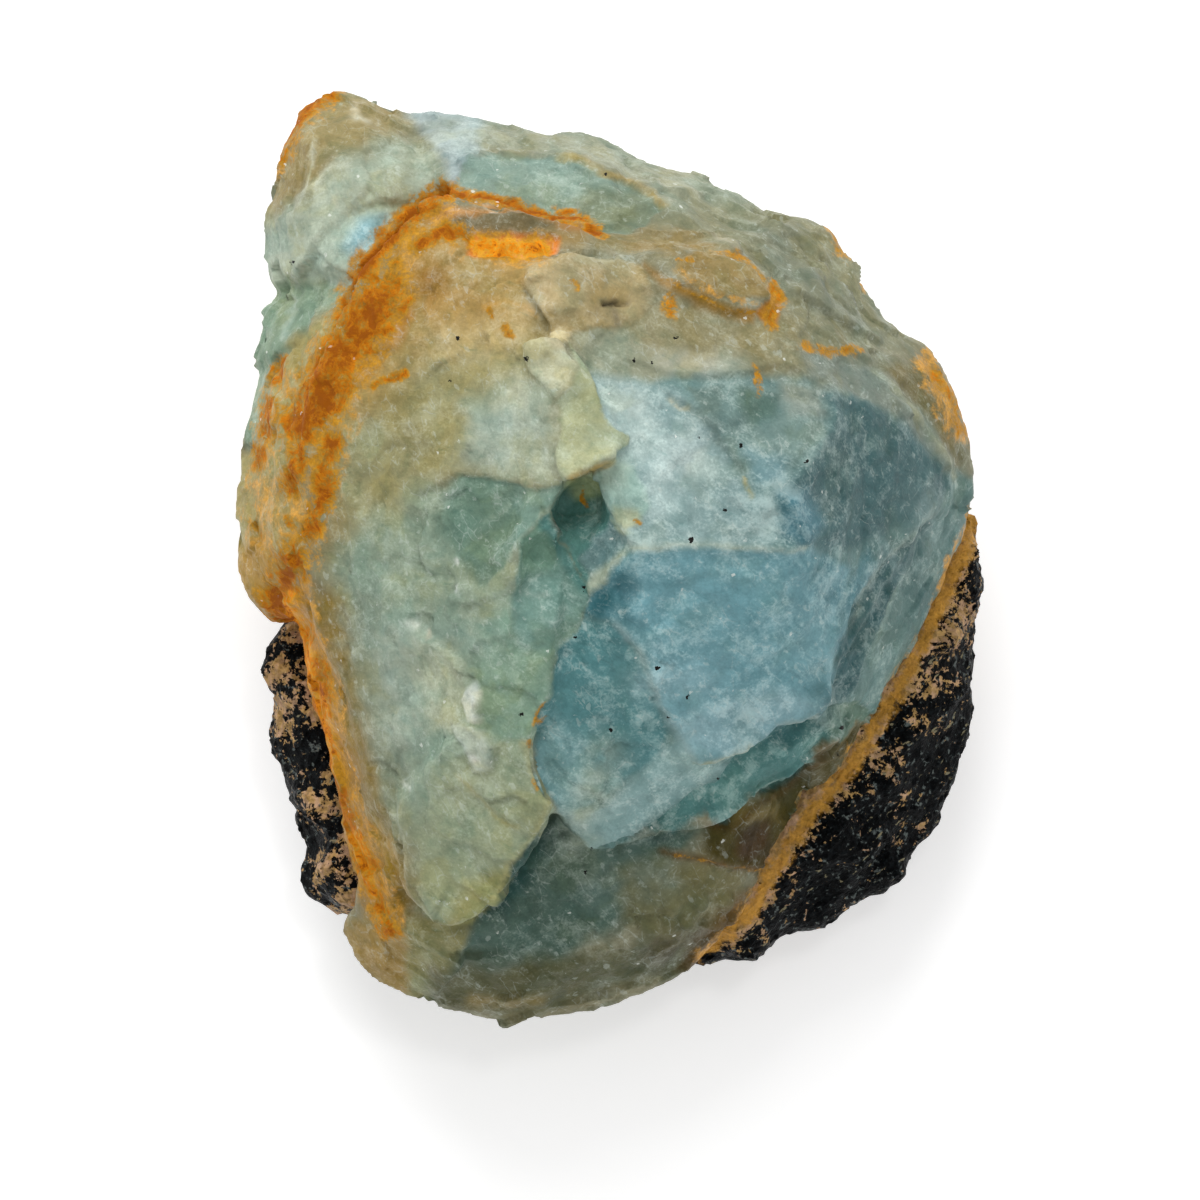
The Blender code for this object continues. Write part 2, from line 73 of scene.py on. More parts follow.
# These zone colours, like the sheets' below, hold the faces' painted light and shade along with the stone's
# own colours
# Soft colour zones of the whole stone, painted in this order: (outline, colour, softness of the border)
GROUND = {
    "upper left block, head": (
        [(-17.6, 16.0), (-17.4, 20.2), (-15.6, 23.8), (-12.0, 23.6), (-9.6, 21.8), (-11.0, 20.6),
         (-13.6, 19.8), (-15.2, 18.0)],
        (152, 138, 92), 0.9,
    ),
    "upper left block, foot": (
        [(-17.8, 12.9), (-17.8, 17.0), (-15.4, 17.6), (-13.6, 19.4), (-11.0, 20.4), (-8.6, 20.4),
         (-8.2, 18.5), (-11.0, 16.2), (-12.8, 13.4), (-15.0, 14.0), (-16.7, 12.9)],
        (174, 185, 164), 0.9,
    ),
    "top band": (
        [(-7.4, 22.6), (-2.0, 21.8), (1.2, 20.8), (4.6, 19.6), (8.0, 17.6), (6.0, 16.4),
         (2.7, 17.3), (1.0, 18.9), (-2.5, 20.1), (-6.9, 20.5)],
        (150, 154, 130), 0.5,
    ),
    "white wedge": (
        [(-10.7, 22.6), (-8.8, 23.0), (-6.6, 22.2), (-6.5, 20.7), (-7.0, 18.9), (-7.8, 18.1),
         (-8.3, 19.5), (-9.4, 21.4)],
        (158, 173, 172), 0.4,
    ),
    "upper right ledges": (
        [(2.7, 17.3), (8.0, 17.6), (11.4, 16.9), (13.2, 14.8), (15.6, 10.8), (12.0, 10.4),
         (9.2, 11.2), (8.8, 13.0), (7.0, 15.2), (2.0, 16.3)],
        (136, 136, 106), 0.6,
    ),
    "upper right, grey green": (
        [(7.0, 16.6), (9.2, 16.4), (10.0, 14.6), (12.6, 12.4), (14.6, 10.8), (12.0, 11.0),
         (9.6, 12.2), (8.0, 14.2)],
        (124, 128, 106), 0.8,
    ),
    "left shelf, head": (
        [(-18.2, 5.6), (-18.8, 8.0), (-17.8, 13.0), (-16.0, 13.8), (-13.0, 13.6), (-13.1, 12.5),
         (-14.6, 11.8), (-15.8, 10.6), (-16.5, 8.4), (-17.2, 6.4)],
        (136, 156, 130), 0.35,
    ),
    "left shelf, tan": (
        [(-15.9, 10.6), (-14.4, 11.7), (-12.8, 12.6), (-13.8, 9.0), (-15.2, 7.0), (-15.2, 0.0),
         (-16.2, -1.4), (-18.0, -2.0), (-19.0, 0.0), (-19.0, 4.6), (-17.6, 5.6), (-16.8, 7.6)],
        (166, 155, 100), 0.4,
    ),
    "left shelf, foot": (
        [(-19.0, 1.0), (-17.4, 1.2), (-16.4, -0.6), (-17.0, -2.6), (-19.2, -1.6)],
        (184, 149, 78), 0.5,
    ),
    "crown, beige head": (
        [(-9.6, 17.0), (-13.0, 11.0), (-14.6, 5.0), (-12.0, 4.6), (-9.4, 8.4), (-3.4, 10.6),
         (-3.4, 14.8), (-1.0, 16.0), (-6.0, 16.2)],
        (176, 146, 86), 1.0,
    ),
    "crown, olive brown shade": (
        [(-9.8, 14.4), (-8.2, 14.8), (-7.6, 13.6), (-8.8, 12.4), (-10.0, 12.8)],
        (160, 118, 50), 0.7,
    ),
    "crown, pink beige side": (
        [(-11.2, 13.6), (-10.2, 14.0), (-9.6, 12.0), (-10.4, 10.4), (-11.2, 10.2), (-12.6, 8.2),
         (-13.0, 9.6), (-11.8, 11.4)],
        (178, 128, 58), 0.4,
    ),
    "crown, middle": (
        [(-14.4, 5.0), (-11.6, 7.4), (-8.8, 10.6), (-3.8, 11.2), (-2.4, 8.0), (-2.4, 3.4),
         (-8.0, 3.6), (-9.0, 0.4), (-13.8, -0.4)],
        (158, 154, 112), 1.4,
    ),
    "crown, pale heart": (
        [(-7.0, 7.4), (-4.0, 8.0), (-2.4, 6.4), (-2.9, 4.4), (-5.2, 4.0), (-7.2, 4.8)],
        (166, 178, 160), 1.0,
    ),
    "crown, pale belly": (
        [(-13.6, 0.4), (-9.0, 3.4), (-4.6, 0.0), (-2.6, -5.0), (-3.4, -8.6),
         (-6.4, -12.6), (-11.2, -14.6), (-13.0, -8.0)],
        (146, 162, 140), 1.2,
    ),
    "belly, grey green side": (
        [(-13.2, -2.0), (-11.4, -1.6), (-10.4, -6.0), (-9.4, -9.6), (-11.0, -12.6), (-12.4, -9.6),
         (-13.0, -5.6)],
        (135, 148, 128), 0.8,
    ),
    "belly, green side": (
        [(-4.9, -2.6), (-2.6, -4.4), (-2.7, -6.4), (-3.4, -8.9), (-5.6, -9.2), (-6.4, -8.2),
         (-6.2, -6.6), (-7.0, -5.2), (-6.2, -3.4)],
        (135, 162, 140), 0.5,
    ),
    "belly, cream flake": (
        [(-9.7, -3.3), (-8.8, -4.0), (-7.3, -5.0), (-6.8, -6.4), (-6.9, -8.4), (-8.6, -8.6),
         (-9.6, -6.4), (-10.2, -4.4)],
        (168, 176, 148), 0.5,
    ),
    "ochre edge": (
        [(-15.4, -1.4), (-14.4, -3.6), (-12.6, -8.6), (-11.2, -14.0), (-10.0, -17.4),
         (-11.4, -19.6), (-13.2, -14.0), (-14.8, -9.0), (-16.4, -3.4)],
        (174, 124, 34), 0.9,
    ),
    "foot, tan": (
        [(-13.8, -18.6), (-11.4, -17.6), (-9.8, -18.8), (-9.9, -22.6), (-13.0, -21.4)],
        (155, 130, 72), 0.6,
    ),
    "foot, olive": (
        [(-10.2, -17.6), (-7.2, -18.2), (-7.1, -20.1), (-8.6, -20.5), (-8.9, -22.4),
         (-10.2, -22.4)],
        (140, 137, 92), 0.4,
    ),
    # The next three zones are the clear teal bottom darkened with painted shade under the flakes; the deep
    # teal strip beside the tongue is its painted shadow
    "bottom, dark left in painted shade": (
        [(-7.0, -18.4), (-5.2, -15.9), (-2.9, -12.4), (-1.0, -14.0), (3.2, -13.4), (4.6, -13.4),
         (2.4, -16.0), (0.4, -18.2), (-3.0, -20.6), (-8.0, -21.0)],
        (80, 104, 92), 0.5,
    ),
    "bottom, deep teal in the tongue's painted shadow": (
        [(-6.8, -18.0), (-4.9, -15.4), (-3.2, -13.2), (-2.2, -13.6), (-3.4, -15.4), (-5.0, -17.6)],
        (40, 76, 70), 0.5,
    ),
    "bottom, dim foot": (
        [(-8.6, -20.4), (-3.0, -20.0), (2.0, -19.4), (5.0, -20.6), (2.4, -21.6), (-5.0, -23.8),
         (-9.2, -22.4)],
        (88, 90, 60), 0.9,
    ),
    "bottom, olive lumps": (
        [(0.4, -15.6), (3.2, -14.9), (6.4, -15.6), (7.2, -17.0), (5.4, -19.6), (2.6, -19.6),
         (0.6, -18.0)],
        (114, 112, 76), 0.6,
    ),
    "bottom, brown right": (
        [(5.4, -17.6), (7.6, -16.2), (6.4, -19.4), (5.0, -20.8), (3.6, -20.6), (4.2, -19.0)],
        (100, 76, 34), 0.5,
    ),
    # Under the lip the stone is olive and brown, and darkened there with painted shade from the lip
    "under the lip, olive": (
        [(4.9, -13.3), (6.2, -12.9), (8.9, -11.6), (9.9, -10.4), (11.2, -9.4), (13.4, -8.0),
         (11.8, -11.2), (9.4, -14.0), (7.4, -16.0), (5.6, -15.2), (4.6, -14.6)],
        (76, 68, 22), 0.35,
    ),
    "under the lip, tan": (
        [(6.2, -12.8), (8.9, -11.4), (8.4, -12.4), (8.6, -13.2), (6.4, -13.4)],
        (126, 106, 52), 0.35,
    ),
    "under the lip, dark brown": (
        [(6.6, -13.6), (8.2, -13.2), (8.0, -14.4), (6.8, -15.4), (6.2, -14.6)],
        (70, 48, 6), 0.4,
    ),
    "middle head": (
        [(1.0, 12.8), (4.0, 12.6), (8.2, 11.6), (12.6, 10.6), (8.8, 8.9), (4.8, 8.5), (0.6, 10.0),
         (-1.8, 11.0)],
        (144, 138, 104), 0.9,
    ),
    "middle head, pale": (
        [(2.4, 10.2), (5.4, 10.0), (6.8, 9.4), (4.8, 8.4), (2.6, 8.6), (1.6, 9.4)],
        (170, 171, 150), 0.5,
    ),
    "band under the slab": (
        [(1.8, 14.4), (3.4, 13.4), (5.0, 12.8), (7.4, 12.2), (7.0, 11.8), (4.6, 12.3), (2.8, 13.2)],
        (150, 112, 38), 0.3,
    ),
    "strip over the slab": (
        [(-0.6, 16.0), (2.0, 16.2), (4.6, 16.0), (6.0, 15.4), (4.4, 15.1), (1.8, 15.2),
         (-0.6, 15.2)],
        (145, 127, 80), 0.4,
    ),
    "olive facet": (
        [(13.4, 9.5), (16.2, 9.8), (17.4, 7.6), (17.8, 5.0), (16.8, 4.2), (15.6, 6.6),
         (14.4, 8.3)],
        (118, 109, 70), 0.4,
    ),
    "pink strip under the rust": (
        [(-9.2, 17.6), (-7.0, 17.5), (-4.0, 17.0), (-1.6, 16.6), (-0.6, 16.1), (-3.0, 16.3),
         (-6.0, 16.9), (-8.8, 16.6)],
        (177, 126, 64), 0.25,
    ),
    "grey olive strip": (
        [(-8.2, 16.7), (-6.6, 17.0), (-4.4, 16.9), (-2.6, 16.4), (-3.6, 16.0), (-6.4, 16.0),
         (-7.4, 16.2)],
        (110, 100, 68), 0.2,
    ),
}

# Sheets and facets with a sharp border, each layer over the one before:
# (border, height of its edge over what is around it, how far in that lift reaches)
# and in a layer's colours, soft zones as above
BLUE_LEFT_EDGE = [
    (-1.9, 11.0), (-1.4, 9.8), (-0.8, 8.4), (-0.2, 6.6), (-0.6, 4.0), (-0.9, -1.9), (-1.3, -2.7),
    (-1.5, -3.6), (-2.6, -4.6), (-2.75, -6.0), (-3.05, -7.2), (-3.6, -8.6), (-3.7, -9.6),
    (-3.55, -10.8), (-2.8, -12.1), (-2.1, -13.5), (-0.9, -14.6),
]
LIP_EDGE = [
    (0.9, -14.2), (1.8, -13.45), (3.3, -13.7), (4.3, -13.1), (4.9, -12.7), (5.2, -13.2),
    (5.9, -13.3), (6.2, -12.6), (7.0, -12.0), (8.9, -11.3), (9.9, -10.3), (11.1, -9.1),
    (11.7, -9.1), (12.0, -8.5), (13.2, -8.0),
]

LAYERS = {
    "sheets": {
        "borders": {
            "blue mass": (
                BLUE_LEFT_EDGE + LIP_EDGE + [(19.5, -4.0), (19.5, 6.0), (14.0, 13.0), (0.0, 12.6)],
                0.0, 1.0,
            ),
            "block, lower facet": (
                [(-15.2, 14.0), (-14.9, 15.2), (-14.2, 16.2), (-13.0, 17.2), (-11.4, 17.8),
                 (-9.8, 17.7), (-11.2, 16.2), (-12.4, 14.8), (-13.0, 13.2), (-14.0, 13.5)],
                -0.35, 2.0,
            ),
            "long facet": (
                [(-7.9, 18.3), (-7.0, 20.0), (-5.0, 20.3), (-2.5, 20.1), (-1.2, 19.7),
                 (-0.2, 19.1), (1.0, 18.6), (2.0, 18.1), (2.7, 17.4), (2.2, 17.0), (1.8, 16.4),
                 (0.8, 16.1), (-0.5, 16.2), (-1.4, 16.9), (-3.3, 17.2), (-5.0, 17.5),
                 (-6.6, 17.9)],
                -0.2, 1.5,
            ),
            "orange patch": (
                [(-7.0, 15.0), (-6.9, 15.9), (-5.0, 15.95), (-3.4, 16.0), (-2.5, 15.7),
                 (-2.6, 15.0), (-3.6, 14.8), (-5.0, 14.9), (-6.2, 14.9)],
                -0.25, 1.0,
            ),
        },
        "colours": {
            "clear water": (
                [(-5.0, -15.6), (4.0, -15.6), (13.6, -8.0), (16.4, -3.0), (17.4, 3.4),
                 (15.4, 7.2), (10.8, 8.9), (4.6, 8.9), (-0.9, 9.0), (-3.4, -3.6)],
                (106, 137, 134), 0.5,
            ),
            "grey green head": (
                [(-2.0, 11.2), (-0.8, 11.7), (0.6, 11.2), (1.6, 10.4), (2.8, 9.0), (1.0, 8.2),
                 (-0.9, 8.4)],
                (152, 155, 130), 0.45,
            ),
            "pale crown": (
                [(-1.2, 9.0), (1.5, 8.7), (3.4, 8.0), (4.6, 7.0), (5.6, 5.4), (6.8, 3.4),
                 (8.2, 3.0), (8.6, 1.4), (8.0, 0.5), (2.0, 0.4), (0.4, 0.4), (-0.6, 3.0),
                 (-0.6, 6.0)],
                (142, 168, 166), 0.5,
            ),
            "bright heart": (
                [(-0.4, 8.2), (1.6, 8.1), (2.2, 6.6), (3.8, 5.6), (4.0, 4.4), (2.6, 4.4),
                 (1.6, 5.4), (0.4, 6.2)],
                (182, 200, 194), 0.8,
            ),
            "bright spot": (
                [(2.0, 3.5), (3.3, 3.4), (3.4, 2.2), (2.2, 2.0)], (180, 202, 198), 0.6,
            ),
            "right of the crack": (
                [(3.9, 8.2), (6.4, 8.8), (8.4, 8.6), (10.6, 8.6), (10.9, 6.2), (9.6, 4.8),
                 (8.4, 3.2), (6.9, 3.2), (6.0, 4.8), (5.2, 6.4)],
                (116, 141, 135), 0.4,
            ),
            "blue streak": (
                [(6.6, 5.4), (8.8, 4.8), (8.8, 3.6), (7.2, 3.5)], (121, 154, 158), 0.5,
            ),
            "pale patch": (
                [(8.6, 8.7), (10.4, 8.4), (10.6, 7.0), (9.0, 7.0), (8.4, 7.8)],
                (142, 154, 143), 0.4,
            ),
            # Painted shadow on the crack's high side
            "painted shadow beside the crack": (
                [(3.9, 8.15), (5.6, 8.4), (5.5, 7.0), (5.3, 6.0), (4.4, 7.2)],
                (104, 126, 118), 0.25,
            ),
            "dark patch": (
                [(6.3, 8.4), (8.4, 7.9), (8.2, 7.0), (7.0, 6.4), (6.4, 7.4)],
                (96, 121, 110), 0.35,
            ),
            "veil over the dark face": (
                [(9.4, 10.2), (11.6, 10.0), (13.6, 9.2), (16.0, 6.6), (17.2, 4.2), (16.2, 4.6),
                 (14.2, 7.0), (12.2, 8.0), (10.4, 8.3)],
                (121, 131, 118), 0.45,
            ),
            "dark face": (
                [(10.8, 8.0), (12.4, 7.8), (14.6, 6.7), (16.4, 4.7), (16.9, 3.2), (15.8, 2.0),
                 (13.4, 1.1), (11.8, 0.3), (9.9, 0.4), (8.6, 1.2), (8.3, 3.2), (9.4, 4.2),
                 (10.5, 5.5), (11.0, 6.6)],
                (74, 106, 107), 0.35,
            ),
            "dark face, blue corner": (
                [(8.3, 3.2), (9.6, 3.2), (10.6, 1.6), (9.8, 0.3), (8.6, 1.0)],
                (84, 128, 138), 0.6,
            ),
            "central face": (
                [(1.2, 0.3), (3.0, 0.45), (7.9, 0.4), (10.0, 0.4), (12.0, -0.6), (11.4, -3.0),
                 (11.2, -6.0), (10.6, -7.4), (8.4, -8.2), (6.9, -9.2), (4.3, -10.0),
                 (3.4, -8.8), (2.2, -6.4), (1.6, -4.6), (0.3, -3.3), (-1.2, -2.6),
                 (-0.2, -0.8)],
                (116, 162, 170), 0.25,
            ),
            "brushwork on the right": (
                [(8.6, -2.0), (11.0, -2.2), (11.2, -6.2), (9.6, -7.0), (8.8, -5.0)],
                (118, 161, 168), 0.8,
            ),
            "foot of the central face": (
                [(4.0, -9.9), (3.1, -8.2), (5.0, -7.4), (8.4, -6.4), (10.6, -7.2), (8.4, -8.2),
                 (6.9, -9.2)],
                (142, 178, 184), 0.6,
            ),
            # The nook's teal is darkened with painted shade in the corner, most at its deep end
            "nook": (
                [(-1.3, -2.7), (-0.9, -1.9), (0.1, -0.7), (0.9, 0.2), (1.4, -0.4), (1.1, -1.8),
                 (0.3, -2.8), (-0.5, -3.0)],
                (90, 138, 146), 0.5,
            ),
            "nook, deepest painted shade": (
                [(-1.2, -2.7), (-0.4, -1.6), (0.3, -1.5), (0.2, -2.4), (-0.4, -2.9)],
                (44, 96, 102), 0.45,
            ),
            "lower left face": (
                [(-1.8, -3.2), (0.2, -3.4), (1.4, -4.6), (1.9, -6.0), (2.3, -7.2), (2.9, -8.6),
                 (2.4, -10.0), (0.6, -11.2), (-1.6, -12.6), (-3.8, -11.4), (-4.4, -8.6),
                 (-3.2, -4.4)],
                (88, 136, 138), 0.2,
            ),
            "pale side of that face": (
                [(-4.2, -9.8), (-2.6, -8.0), (-1.4, -9.0), (-0.6, -11.4), (-2.0, -13.0),
                 (-3.8, -11.4)],
                (122, 164, 166), 0.8,
            ),
            "pale band": (
                [(-2.6, -13.6), (-0.2, -12.2), (1.4, -11.0), (2.6, -9.6), (3.6, -9.0),
                 (4.4, -10.1), (5.8, -10.5), (4.4, -11.4), (2.0, -12.8), (0.6, -14.6),
                 (-1.6, -14.6)],
                (142, 174, 172), 0.35,
            ),
            "strip left of the crease": (
                [(12.8, 0.4), (11.6, -2.2), (11.2, -4.8), (11.6, -4.8), (12.4, -2.8),
                 (13.4, -0.6)],
                (92, 137, 144), 0.3,
            ),
            # The crease is darkened with painted shade
            "crease": (
                [(16.2, 2.4), (14.9, 1.0), (13.4, -0.8), (12.4, -2.6), (11.6, -4.4),
                 (10.9, -7.5), (12.0, -7.2), (12.8, -4.6), (13.9, -2.4), (15.2, -0.4),
                 (16.4, 1.2)],
                (56, 95, 97), 0.3,
            ),
            "right side": (
                [(16.6, 2.6), (15.4, -0.2), (14.0, -2.2), (12.9, -4.6), (12.0, -7.6),
                 (13.6, -8.2), (15.6, -5.6), (16.8, -3.0), (18.2, 0.0), (18.8, 3.6),
                 (17.2, 4.4)],
                (99, 129, 123), 0.3,
            ),
            "right side, pale foot": (
                [(12.9, -4.8), (14.6, -4.4), (14.4, -6.2), (12.6, -7.6)],
                (110, 142, 137), 0.5,
            ),
            "block, lower facet": (
                [(-15.8, 13.4), (-15.4, 15.2), (-14.4, 16.8), (-11.4, 18.4), (-9.0, 18.0),
                 (-12.4, 13.0)],
                (172, 187, 168), 0.3,
            ),
            "block, blue side": (
                [(-12.6, 16.8), (-11.0, 17.2), (-10.8, 16.4), (-12.4, 14.8), (-13.2, 15.4)],
                (144, 186, 192), 0.5,
            ),
            "long facet": (
                [(-8.6, 18.2), (-7.4, 20.6), (-2.5, 20.6), (1.2, 19.4), (3.2, 17.6), (1.8, 15.6),
                 (-1.4, 15.9), (-5.0, 17.0)],
                (138, 159, 144), 0.3,
            ),
            "long facet, dark end": (
                [(-1.2, 18.6), (1.2, 18.4), (2.8, 17.4), (1.8, 16.2), (-0.5, 16.0),
                 (-1.6, 16.9)],
                (120, 132, 107), 0.5,
            ),
            "orange patch": (
                [(-7.4, 14.6), (-7.2, 16.2), (-3.0, 16.4), (-2.0, 15.0), (-4.0, 14.4)],
                (226, 124, 12), 0.2,
            ),
        },
    },
    "flakes": {
        "borders": {
            "lip": (
                [(-0.6, -14.5)] + LIP_EDGE
                + [(12.4, -7.2), (11.0, -7.5), (10.2, -7.9), (8.3, -8.3), (7.6, -9.2),
                   (6.9, -9.3), (6.1, -10.1), (5.4, -11.2), (4.2, -11.7), (3.4, -12.4),
                   (2.2, -13.2), (1.2, -13.9)],
                -0.35, 2.0,
            ),
            "hollow": (
                [(-9.6, 3.0), (-7.3, 4.1), (-6.0, 3.9), (-4.9, 3.6), (-3.6, 3.3), (-2.3, 3.55),
                 (-3.1, 2.2), (-4.4, 0.8), (-4.9, 0.1), (-5.4, -0.6), (-6.4, -1.6),
                 (-9.6, -1.0)],
                -0.25, 1.6,
            ),
            "slab": (
                [(3.2, 13.9), (3.4, 14.6), (4.4, 15.1), (6.2, 15.2), (7.0, 14.7), (7.6, 14.0),
                 (8.0, 13.3), (7.9, 12.8), (6.4, 12.8), (5.0, 13.0), (4.0, 13.4)],
                0.15, 1.4,
            ),
            "tongue": (
                [(-6.3, -8.7), (-5.6, -9.3), (-4.2, -9.0), (-3.9, -9.6), (-3.65, -10.8),
                 (-3.0, -11.9), (-2.8, -12.6), (-3.3, -13.5), (-3.8, -14.2), (-4.9, -15.2),
                 (-4.9, -15.9), (-5.3, -16.7), (-6.5, -17.9), (-6.9, -18.3), (-8.0, -18.4),
                 (-9.2, -17.8), (-10.4, -17.6), (-12.0, -15.0), (-11.6, -10.0), (-8.0, -8.4)],
                0.0, 1.5,
            ),
            "upper lump": (
                [(-4.1, 14.4), (-3.8, 14.7), (-2.9, 14.7), (-1.5, 14.95), (0.2, 14.8),
                 (1.6, 14.3), (2.4, 12.6), (1.0, 11.4), (-0.6, 11.3), (-1.8, 11.0),
                 (-2.2, 10.4), (-2.9, 10.9), (-2.9, 11.5), (-3.5, 12.4), (-4.05, 13.3)],
                0.12, 1.2,
            ),
        },
        "colours": {
            "lip": (
                [(-1.6, -15.6), (6.0, -14.2), (14.4, -8.6), (12.6, -6.6), (8.0, -7.4),
                 (4.8, -10.4), (0.8, -13.2)],
                (86, 134, 130), 0.3,
            ),
            "lip, dark head": (
                [(8.3, -8.2), (10.4, -7.7), (11.6, -7.4), (11.6, -8.4), (9.4, -9.4),
                 (7.6, -9.6)],
                (56, 103, 102), 0.35,
            ),
            "lip, pale head": (
                [(11.4, -7.4), (13.0, -6.8), (13.6, -8.2), (11.6, -9.4), (10.8, -8.4)],
                (102, 130, 112), 0.35,
            ),
            "hollow": (
                [(-7.6, 4.4), (-5.0, 4.0), (-2.0, 4.0), (-2.6, 2.0), (-5.2, -0.8),
                 (-6.4, -1.4), (-7.6, -0.2), (-8.4, 1.4), (-8.2, 3.0)],
                (108, 135, 117), 0.5,
            ),
            "hollow, right facet": (
                [(-4.6, 4.0), (-3.6, 3.7), (-2.0, 3.9), (-2.8, 2.0), (-4.4, 0.6),
                 (-4.8, 2.2)],
                (120, 149, 134), 0.25,
            ),
            "slab": (
                [(2.8, 13.4), (3.0, 15.2), (6.6, 15.8), (8.6, 13.4), (7.9, 12.2), (4.0, 12.8)],
                (151, 131, 82), 0.3,
            ),
            "tongue": (
                [(-6.6, -8.0), (-3.4, -8.4), (-2.2, -12.6), (-6.0, -19.0), (-9.6, -18.4),
                 (-9.8, -14.0), (-8.0, -10.6)],
                (151, 161, 131), 0.9,
            ),
            "tongue, yellow foot": (
                [(-7.0, -16.2), (-5.0, -15.4), (-4.6, -16.8), (-6.8, -18.8), (-8.2, -18.6),
                 (-7.6, -17.2)],
                (158, 156, 102), 0.5,
            ),
            "tongue, ochre patch": (
                [(-11.8, -13.8), (-10.7, -13.8), (-10.2, -15.4), (-11.0, -16.2)],
                (180, 134, 32), 0.5,
            ),
            "upper lump": (
                [(-4.6, 15.2), (0.2, 15.2), (2.2, 14.2), (1.6, 11.4), (-0.6, 10.8),
                 (-2.6, 10.0), (-4.6, 12.8)],
                (166, 150, 108), 0.7,
            ),
            "upper lump, cream side": (
                [(-4.6, 14.8), (-2.6, 14.7), (-2.2, 13.2), (-3.0, 12.2), (-4.4, 12.8)],
                (185, 166, 122), 0.5,
            ),
        },
    },
    "chips": {
        "borders": {
            "green step": (
                [(-3.1, 2.1), (-1.9, 0.1), (-1.2, -1.4), (-1.0, -2.1), (-1.35, -2.8),
                 (-1.5, -3.6), (-2.6, -4.6), (-4.4, -5.2), (-4.9, -2.6), (-4.5, -0.4),
                 (-4.4, 0.75)],
                -0.15, 1.2,
            ),
            "pocket": (
                [(-2.25, 3.65), (-0.8, 4.05), (-0.4, 3.1), (0.1, 2.1), (0.6, 1.5),
                 (0.0, -0.6), (-1.0, -1.7), (-1.3, -1.2), (-1.9, 0.1), (-3.05, 2.2)],
                0.0, 1.0,
            ),
            "upright crystal": (
                [(-6.65, -6.2), (-6.3, -6.7), (-6.35, -8.3), (-6.7, -8.2), (-7.05, -7.0)],
                0.2, 0.6,
            ),
            "tilted crystal": (
                [(-7.6, -8.0), (-6.4, -8.6), (-5.6, -9.4), (-5.9, -10.6), (-6.7, -10.6),
                 (-7.1, -9.4)],
                0.25, 1.0,
            ),
        },
        "colours": {
            "green step": (
                [(-3.1, 3.0), (-0.6, -2.0), (-1.6, -4.2), (-3.0, -4.9), (-4.6, -4.4),
                 (-5.3, -2.6), (-4.9, 1.2)],
                (120, 153, 141), 0.7,
            ),
            "green step, shaded head": (
                [(-3.1, 2.6), (-1.8, 0.5), (-2.6, -0.6), (-4.2, -0.8), (-4.8, 0.9)],
                (118, 153, 132), 0.5,
            ),
            "pocket": (
                [(-3.6, 3.6), (-0.6, 4.4), (1.0, 2.0), (-1.0, -2.4), (-3.4, 1.4)],
                (92, 138, 130), 0.2,
            ),
            "pocket, olive roof": (
                [(-2.8, 4.2), (-0.4, 4.6), (-0.4, 3.1), (-1.6, 2.8)], (170, 186, 140), 0.3,
            ),
            "upright crystal": (
                [(-6.7, -5.8), (-5.9, -6.7), (-6.0, -8.6), (-6.9, -8.5), (-7.4, -7.0)],
                (208, 216, 206), 0.3,
            ),
            "tilted crystal": (
                [(-7.8, -7.9), (-6.4, -8.2), (-5.2, -9.4), (-5.7, -11.0), (-6.9, -10.9),
                 (-7.4, -9.6)],
                (176, 186, 166), 0.3,
            ),
        },
    },
    "crusts": {
        "borders": {
            "crust": (
                [(0.05, 2.0), (0.6, 1.6), (1.25, 1.15), (0.9, 0.15), (0.35, -0.4),
                 (-0.1, -1.2), (-0.95, -1.95), (-1.15, -1.6), (-0.95, -0.9), (-1.5, -0.1),
                 (-1.0, 0.35), (-0.75, 1.0), (-0.2, 1.4)],
                0.2, 0.8,
            ),
            "lobe": (
                [(-0.65, 4.05), (0.2, 4.95), (1.2, 4.4), (1.75, 3.4), (2.0, 2.4), (1.5, 1.6),
                 (1.0, 1.35), (0.5, 1.7), (0.05, 2.2), (-0.35, 3.0)],
                0.15, 1.0,
            ),
            "pale flake": (
                [(-4.1, 10.4), (-3.4, 10.6), (-2.6, 10.6), (-1.6, 9.3), (-1.9, 8.5),
                 (-2.6, 7.75), (-3.4, 8.6), (-3.9, 9.3)],
                0.25, 1.0,
            ),
            "cream flake": (
                [(-2.95, 10.8), (-2.4, 11.2), (-1.9, 10.9), (-2.1, 10.4), (-2.6, 10.55)],
                0.2, 0.5,
            ),
            "slab, orange end": (
                [(7.9, 13.5), (8.7, 12.9), (8.5, 12.2), (8.3, 11.3), (7.6, 11.7), (7.3, 12.1),
                 (7.9, 12.8)],
                -0.1, 0.6,
            ),
        },
        "colours": {
            "crust": (
                [(-0.2, 2.6), (1.8, 1.2), (0.4, -1.2), (-1.2, -2.4), (-1.8, -0.4),
                 (-1.2, 1.2)],
                (108, 139, 138), 0.3,
            ),
            "crust, cream foot": (
                [(1.4, 0.6), (0.35, -0.8), (-0.6, -2.4), (-1.4, -1.8), (-0.8, -0.9),
                 (0.0, -0.3)],
                (164, 174, 152), 0.3,
            ),
            "lobe": (
                [(-1.0, 4.2), (0.2, 5.4), (2.2, 4.0), (2.4, 2.2), (1.2, 1.0), (-0.6, 2.6)],
                (163, 192, 180), 0.3,
            ),
            "lobe, cream foot": (
                [(0.3, 2.5), (1.4, 2.3), (1.8, 1.4), (0.8, 1.1), (0.2, 1.8)],
                (184, 192, 160), 0.25,
            ),
            "pale flake": (
                [(-4.6, 10.6), (-2.4, 11.0), (-1.2, 9.0), (-2.6, 7.2), (-4.2, 8.8)],
                (186, 186, 153), 0.3,
            ),
            "cream flake": (
